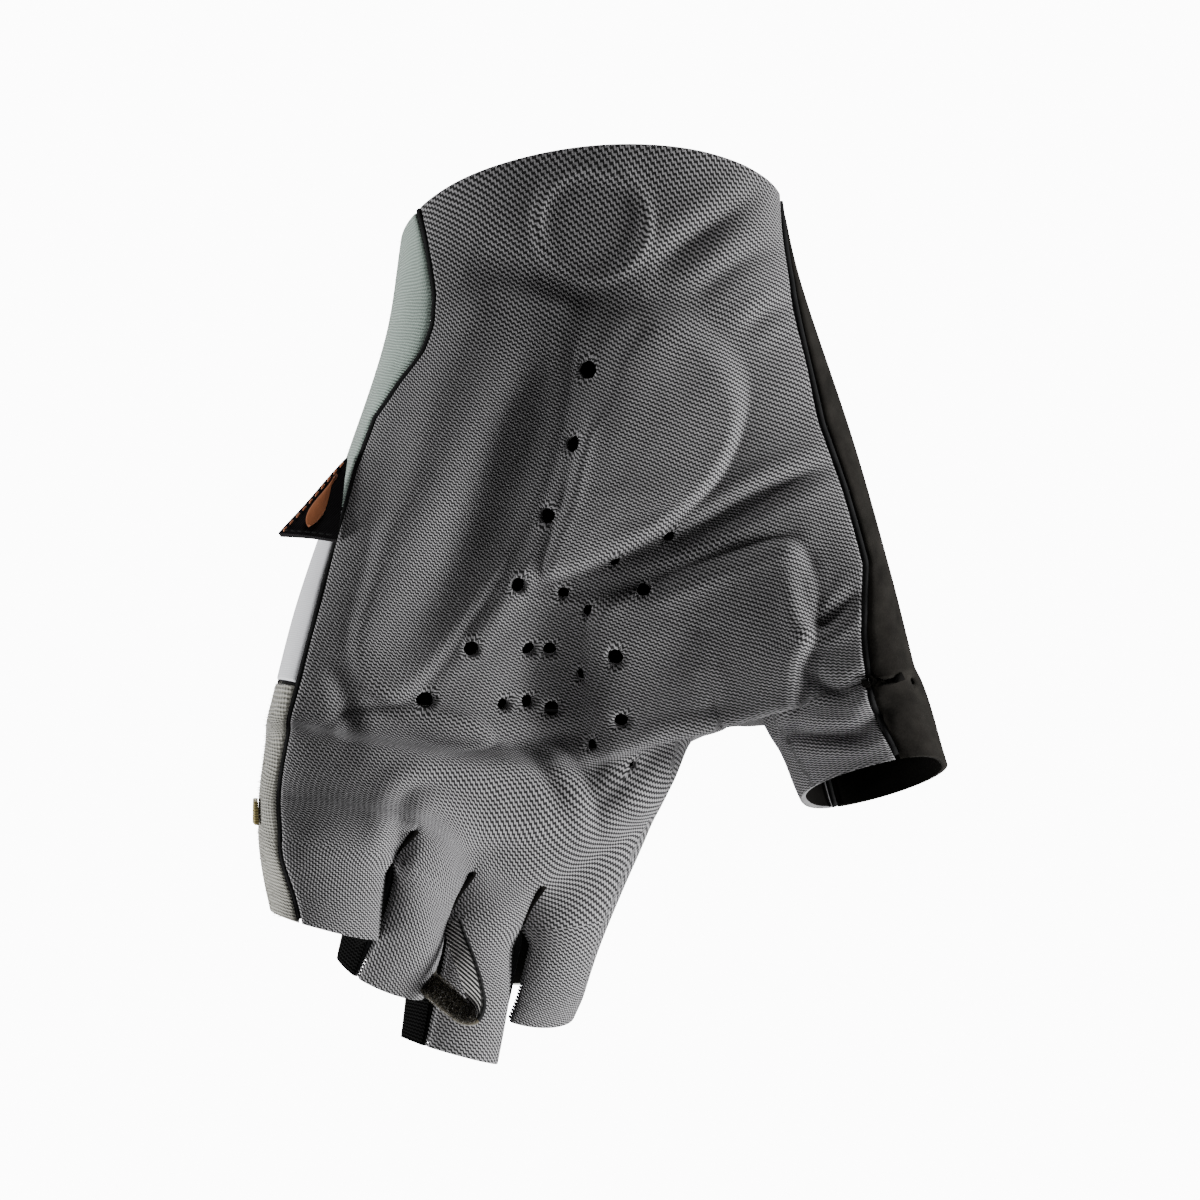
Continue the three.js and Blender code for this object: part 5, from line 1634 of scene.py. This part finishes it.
@dataclass
class SideTrim(Part):
    """Dashed stitches along the smooth strip and loose fibres along the knits of the little finger side."""

    def edge(self, start: float, end: float, pitch: float, share: float, side: Side) -> tuple[Array, Array]:
        """Points and outward directions along the outer edge of the little finger side."""
        form = self.maker.form
        at = stations(start, end, pitch)
        share = np.full_like(at, share)
        points = form.skin(LITTLE, share, at, side)
        inner = form.skin(LITTLE, share + 0.12, at, side)
        away = unit(points - inner)
        return points + away * WALL / 2, away

    def build(self) -> list[bpy.types.Object]:
        """Build the stitches and the fibres."""
        dashes = self.edge(CUFF_BACK_END + 0.02, HAND_BACK_END - 0.03, 0.8, 0.0, Side.FRONT)
        stitches = Thread("strip_stitches", BLACK_THREAD, "white", 1.5, 2.3, 0.42)
        pieces = [stitches.sew([dashes], self.wardrobe)]
        for name, finish, slot, run, seed in (("cream_fuzz", CREAM, "cream", (HAND_BACK_END, LITTLE.end), 11),
                                              ("sage_fuzz", SAGE, "sage", (0.0, CUFF_BACK_END), 12)):
            parts = [self.edge(*run, 0.45, share, side) for share, side in
                     ((0.0, Side.FRONT), (0.006, Side.FRONT), (0.016, Side.FRONT), (0.006, Side.BACK))]
            roots, ways = (np.vstack([part[k] for part in parts]) for k in (0, 1))
            each = 3 if slot == "cream" else 1
            pieces.append(Tufts(name, finish, slot, 0.8, 0.05, each, seed).grow(roots, ways, self.wardrobe))
        return pieces


@dataclass
class SideTab(Part):
    """The black folded tab in the little finger side seam, with a plain orange patch."""

    top: tuple[float, float] = (-0.423, 0.321)
    tip: tuple[float, float] = (-0.535, 0.423)
    foot: tuple[float, float] = (-0.413, 0.418)
    thick: float = 1.5

    def build(self) -> list[bpy.types.Object]:
        """Build the tab, its patch and its copper dashes."""
        low, high = (np.array(corner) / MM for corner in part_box("side_tab"))
        top = np.array([self.top[0] * BREADTH, high[1] - self.thick / 2, -self.top[1] * REACH])
        tip = np.array([self.tip[0] * BREADTH, (low[1] + high[1]) / 2, -self.tip[1] * REACH])
        foot = np.array([self.foot[0] * BREADTH, low[1] + self.thick / 2, -self.foot[1] * REACH])
        rows = np.linspace(0, 1, 34)
        columns = np.linspace(0, 1, 30)
        down, over = np.meshgrid(rows, columns, indexing="ij")
        near = top + (tip - top) * down[..., None]
        far = top + (foot - top) * down[..., None]
        points = near + (far - near) * over[..., None]
        outward = unit(np.cross(tip - top, foot - top))
        outward *= -np.sign(outward[1])
        bow = 0.55 * np.sin(np.pi * over) * down + 0.25 * np.sin(2.4 * np.pi * down) * (1 - over)
        points = points + outward * bow[..., None]
        strip = Strip(points, np.zeros(down.shape))
        tall, wide = np.linalg.norm(tip - top), np.linalg.norm(foot - tip)
        strip.cloth = np.stack([down * tall, over * wide * down], 2)
        finishes = self.dress(TAB_TAPE, TAB_TAPE, TAB_TAPE)
        tape = PanelMaker.mesh("folded_tab", [strip], finishes, self.thick, lift=self.thick / 2)
        soften = tape.modifiers.new("fold", "BEVEL")
        soften.width, soften.segments, soften.limit_method = 0.35 * MM, 3, "ANGLE"
        wear(tape, "tab", "side_tab")
        patch = self.patch(top, tip, foot, outward)
        edge = points[2:, 0] + outward * (self.thick / 2 + 0.35) + unit(foot - tip) * 0.55
        dashes = Thread("copper_dashes", COPPER, "orange", 1.15, 1.7, 0.42, 8.0)
        pieces = [tape, patch, dashes.sew([(edge, np.tile(outward, (len(edge), 1)))], self.wardrobe)]
        hem = points[-1, 1:-1] + outward * (self.thick / 2 + 0.3) + unit(top - tip) * 0.8
        stitch = Thread("tab_hem_stitches", BLACK_THREAD, "tab", 1.0, 1.3, 0.35)
        pieces.append(stitch.sew([(hem, np.tile(outward, (len(hem), 1)))], self.wardrobe))
        return pieces

    def patch(self, top: Array, tip: Array, foot: Array, outward: Array) -> bpy.types.Object:
        """Build the plain drop-shaped patch, wider towards the tip."""
        share = np.linspace(0.0, 1.0, 26)
        half = 0.20 * np.sin(np.pi * share**1.5) ** 0.8
        over = np.linspace(-1, 1, 13)
        far = 0.22 + 0.68 * share
        mix = 0.46 + half[:, None] * over[None, :]
        bottom = tip + (foot - tip) * mix[..., None]
        points = top + (bottom - top) * far[:, None, None]
        dome = (1 - over[None, :] ** 2) * np.sin(np.pi * share)[:, None] * 0.18
        bow = 0.55 * np.sin(np.pi * mix) * far[:, None]
        points = points + outward * (self.thick / 2 + 0.75 + bow + dome)[..., None]
        strip = Strip(points, np.zeros(mix.shape), points[..., [0, 2]])
        piece = PanelMaker.mesh("tab_patch", [strip], self.dress(ORANGE, ORANGE, ORANGE), 0.55, lift=0.0)
        return wear(piece, "orange", "tab_badge")


@dataclass
class PullLoop(Part):
    """The webbing loop between ring and middle finger: a herringbone and a pile run that meet in a round end.

    The route of the band's middle and the sideways half of its width are listed in millimetres.
    """

    thick: float = 0.9
    route: tuple = ((-2.9, -3.2, -126.8), (-1.6, -5.4, -129.6), (0.6, -7.0, -133.2), (2.6, -7.6, -137.0),
                    (4.1, -7.6, -140.6), (4.0, -8.3, -142.6), (2.2, -8.2, -142.6), (-0.6, -6.8, -141.0),
                    (-3.2, -5.2, -139.5), (-5.4, -3.4, -138.4))
    half: tuple = ((1.3, -0.6, 0.7), (1.55, -0.8, 0.75), (1.6, -0.9, 0.7), (1.5, -1.0, 0.6),
                   (1.2, -1.4, 0.2), (0.4, -1.6, -0.8), (-0.5, -1.3, -1.5), (-0.8, -1.0, -1.8),
                   (-0.9, -0.9, -1.8), (-0.9, -0.9, -1.7))
    pile_from: float = 0.56

    def build(self) -> list[bpy.types.Object]:
        """Build the band and the short pile on its lower run."""
        line = curve_through(np.array(self.route), False, 14)
        half = curve_through(np.array(self.half), False, 14)
        columns = np.linspace(-1, 1, 11)
        grid = line[:, None, :] + half[:, None, :] * columns[None, :, None]
        arc = np.append(0.0, np.cumsum(np.linalg.norm(np.diff(line, axis=0), axis=1)))
        wide = 2 * np.linalg.norm(half, axis=1)[:, None]
        strip = Strip(grid[:, ::-1], np.zeros(grid.shape[:2]))
        strip.cloth = np.stack(np.broadcast_arrays((-columns[None, :] - 0.9) * wide / 2, arc[:, None]), 2)
        materials = self.dress(TWILL, TWILL, BLACK_THREAD, PILE)
        band = PanelMaker.mesh("webbing_loop", [strip], materials, self.thick, lift=self.thick / 2)
        first = int(len(line) * self.pile_from)
        lower = line[first:]
        for polygon in band.data.polygons:
            centre = np.array(polygon.center) / MM
            nearest = np.linalg.norm(line - centre, axis=1).argmin()
            if nearest >= first:
                polygon.material_index = 3
        wear(band, "twill", "pull_loop")
        outward = unit(np.cross(half[first:], np.gradient(lower, axis=0)))
        outward *= -np.sign(outward[:, 1:2])
        roots = (lower[:, None, :] + half[first:, None, :] * np.linspace(-1, 1, 13)[None, :, None])
        ways = np.repeat(outward[:, None, :], 13, 1)
        pile = Tufts("loop_pile", PILE, "twill", 0.75, 0.075, 3, 5, 0.9)
        roots, ways = roots.reshape(-1, 3), ways.reshape(-1, 3)
        return [band, pile.grow(roots + ways * 0.3, ways, self.wardrobe)]


@dataclass
class EdgeLabel(Part):
    """The ochre label over the outer edge of the little finger."""

    at: float = 0.752
    tall: float = 5.6
    deep: float = 5.0
    bend: float = 1.6
    proud: float = 1.45

    def build(self) -> list[bpy.types.Object]:
        """Build the label."""
        form = self.maker.form
        rows = np.linspace(self.at, self.at + self.tall / REACH, 12)
        turns = np.linspace(1, -0.4, 18)
        points = []
        for at in rows:
            station = np.array([at])
            outer, middle = (form.centre(LITTLE, np.array([t]), station)[0] for t in (0.0, 0.5))
            away = unit(outer - middle)
            width = float(form.width(LITTLE, station)[0])
            share = (turns * self.deep / 2 / width) ** 2 * self.bend
            row_at = np.full_like(share, at)
            sides = [form.skin(LITTLE, share, row_at, side) for side in (Side.FRONT, Side.BACK)]
            points.append(np.where((turns < 0)[:, None], *sides) + away * self.proud)
        grid = np.array(points)
        strip = Strip(grid, np.zeros(grid.shape[:2]))
        PanelMaker.lay_out([strip])
        piece = PanelMaker.mesh("edge_label", [strip], self.dress(OCHRE, OCHRE, OCHRE), 0.7, lift=0.2)
        return [wear(piece, "ochre", "accent_label")]


# Lights: name, turn and lift in degrees, power in watts
LIGHTS = [("right light", 0, 6, 6.5), ("left light", 210, 6, 5.0), ("top light", 90, 6, 2.0),
          ("low light", 330, 6, 2.2), ("fill", 120, 80, 0.05), ("back light", 100, -75, 4.0)]


@dataclass
class Studio:
    """Pale floor, soft lights and the camera at the photographed angle."""

    aim: tuple[float, float, float] = (0.0130, 0.0, -0.0657)
    roll: float = 10.0
    width: float = 0.2143
    lens: float = 420.0
    floor_drop: float = 0.45
    light_distance: float = 0.6
    light_size: float = 0.22
    backdrop: float = 12.0
    dim_light: float = 0.02

    def floor(self) -> None:
        """Lay the plain floor well below the glove, which is held by the hand."""
        bm = bmesh.new()
        bmesh.ops.create_circle(bm, cap_ends=True, segments=96, radius=1.2)
        bmesh.ops.translate(bm, vec=(0, 0, self.aim[2] - self.floor_drop), verts=bm.verts[:])
        mesh = bpy.data.meshes.new("floor")
        bm.to_mesh(mesh)
        bm.free()
        material = bpy.data.materials.new("plain floor")
        material.use_nodes = True
        desk = NodeDesk(material.node_tree)
        place_in = desk.add("ShaderNodeTexCoord").outputs["Object"]
        tone = desk.noise(place_in, 6.0, 2.0)
        shader = material.node_tree.nodes["Principled BSDF"]
        desk.feed(shader.inputs["Base Color"], desk.blend(tone, (0.86, 0.86, 0.86, 1), (0.90, 0.90, 0.90, 1)))
        shader.inputs["Roughness"].default_value = 0.9
        mesh.materials.append(material)
        floor = bpy.data.objects.new("floor", mesh)
        bpy.context.scene.collection.objects.link(floor)

    def light(self, name: str, turn: float, lift: float, power: float) -> None:
        """Hang one soft light that faces the glove.

        Args:
            name: Name of the light.
            turn: Angle round the camera's axis, from the thumb side up towards the cuff, in degrees.
            lift: Angle above the plane of the palm towards the camera, in degrees.
            power: Power in watts.
        """
        data = bpy.data.lights.new(name, "AREA")
        data.shape, data.size, data.energy = "DISK", self.light_size, power
        lamp = bpy.data.objects.new(name, data)
        a, b = math.radians(turn), math.radians(lift)
        away = Vector((math.cos(a) * math.cos(b), -math.sin(b), math.sin(a) * math.cos(b)))
        lamp.location = Vector(self.aim) + away * self.light_distance
        lamp.rotation_euler = (-away).to_track_quat("-Z", "Y").to_euler()
        bpy.context.scene.collection.objects.link(lamp)

    def surroundings(self) -> None:
        """Make the white surroundings, which light the glove only dimly."""
        world = bpy.data.worlds.new("studio")
        bpy.context.scene.world = world
        world.use_nodes = True
        desk = NodeDesk(world.node_tree)
        background = world.node_tree.nodes["Background"]
        seen = desk.add("ShaderNodeLightPath").outputs["Is Camera Ray"]
        background.inputs["Color"].default_value = (1, 1, 1, 1)
        strength = desk.sum("MULTIPLY_ADD", seen, self.backdrop - self.dim_light, self.dim_light)
        desk.feed(background.inputs["Strength"], strength)

    def camera(self) -> None:
        """Set the camera, rolled as in the photograph."""
        data = bpy.data.cameras.new("camera")
        data.lens, data.sensor_width = self.lens, 36.0
        distance = self.width * self.lens / data.sensor_width
        camera = bpy.data.objects.new("camera", data)
        camera.location = Vector(self.aim) + Vector((0, -distance, 0))
        turn = math.radians(self.roll)
        right = Vector((math.cos(turn), 0, math.sin(turn)))
        up = Vector((-math.sin(turn), 0, math.cos(turn)))
        back = Vector((0, -1, 0))
        camera.rotation_euler = Matrix((right, up, back)).transposed().to_euler()
        bpy.context.scene.collection.objects.link(camera)
        bpy.context.scene.camera = camera

    def build(self) -> None:
        """Set up the studio."""
        self.camera()
        self.floor()
        self.surroundings()
        for lamp in LIGHTS:
            self.light(*lamp)


def main() -> None:
    """Build the glove round its frame and report each piece."""
    logging.basicConfig(level=logging.INFO, format="%(name)s: %(message)s")
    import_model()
    Studio().build()
    wardrobe = Wardrobe()
    maker = PanelMaker(HandForm(RELIEF))
    for part in (Palm, BackPanels, ThumbSuede, Gussets, SeamCords, SideTrim, SideTab, PullLoop, EdgeLabel):
        for piece in part(maker, wardrobe).build():
            LOG.info("%s: %d faces", piece.name, len(piece.data.polygons))


if __name__ == "__main__":
    main()
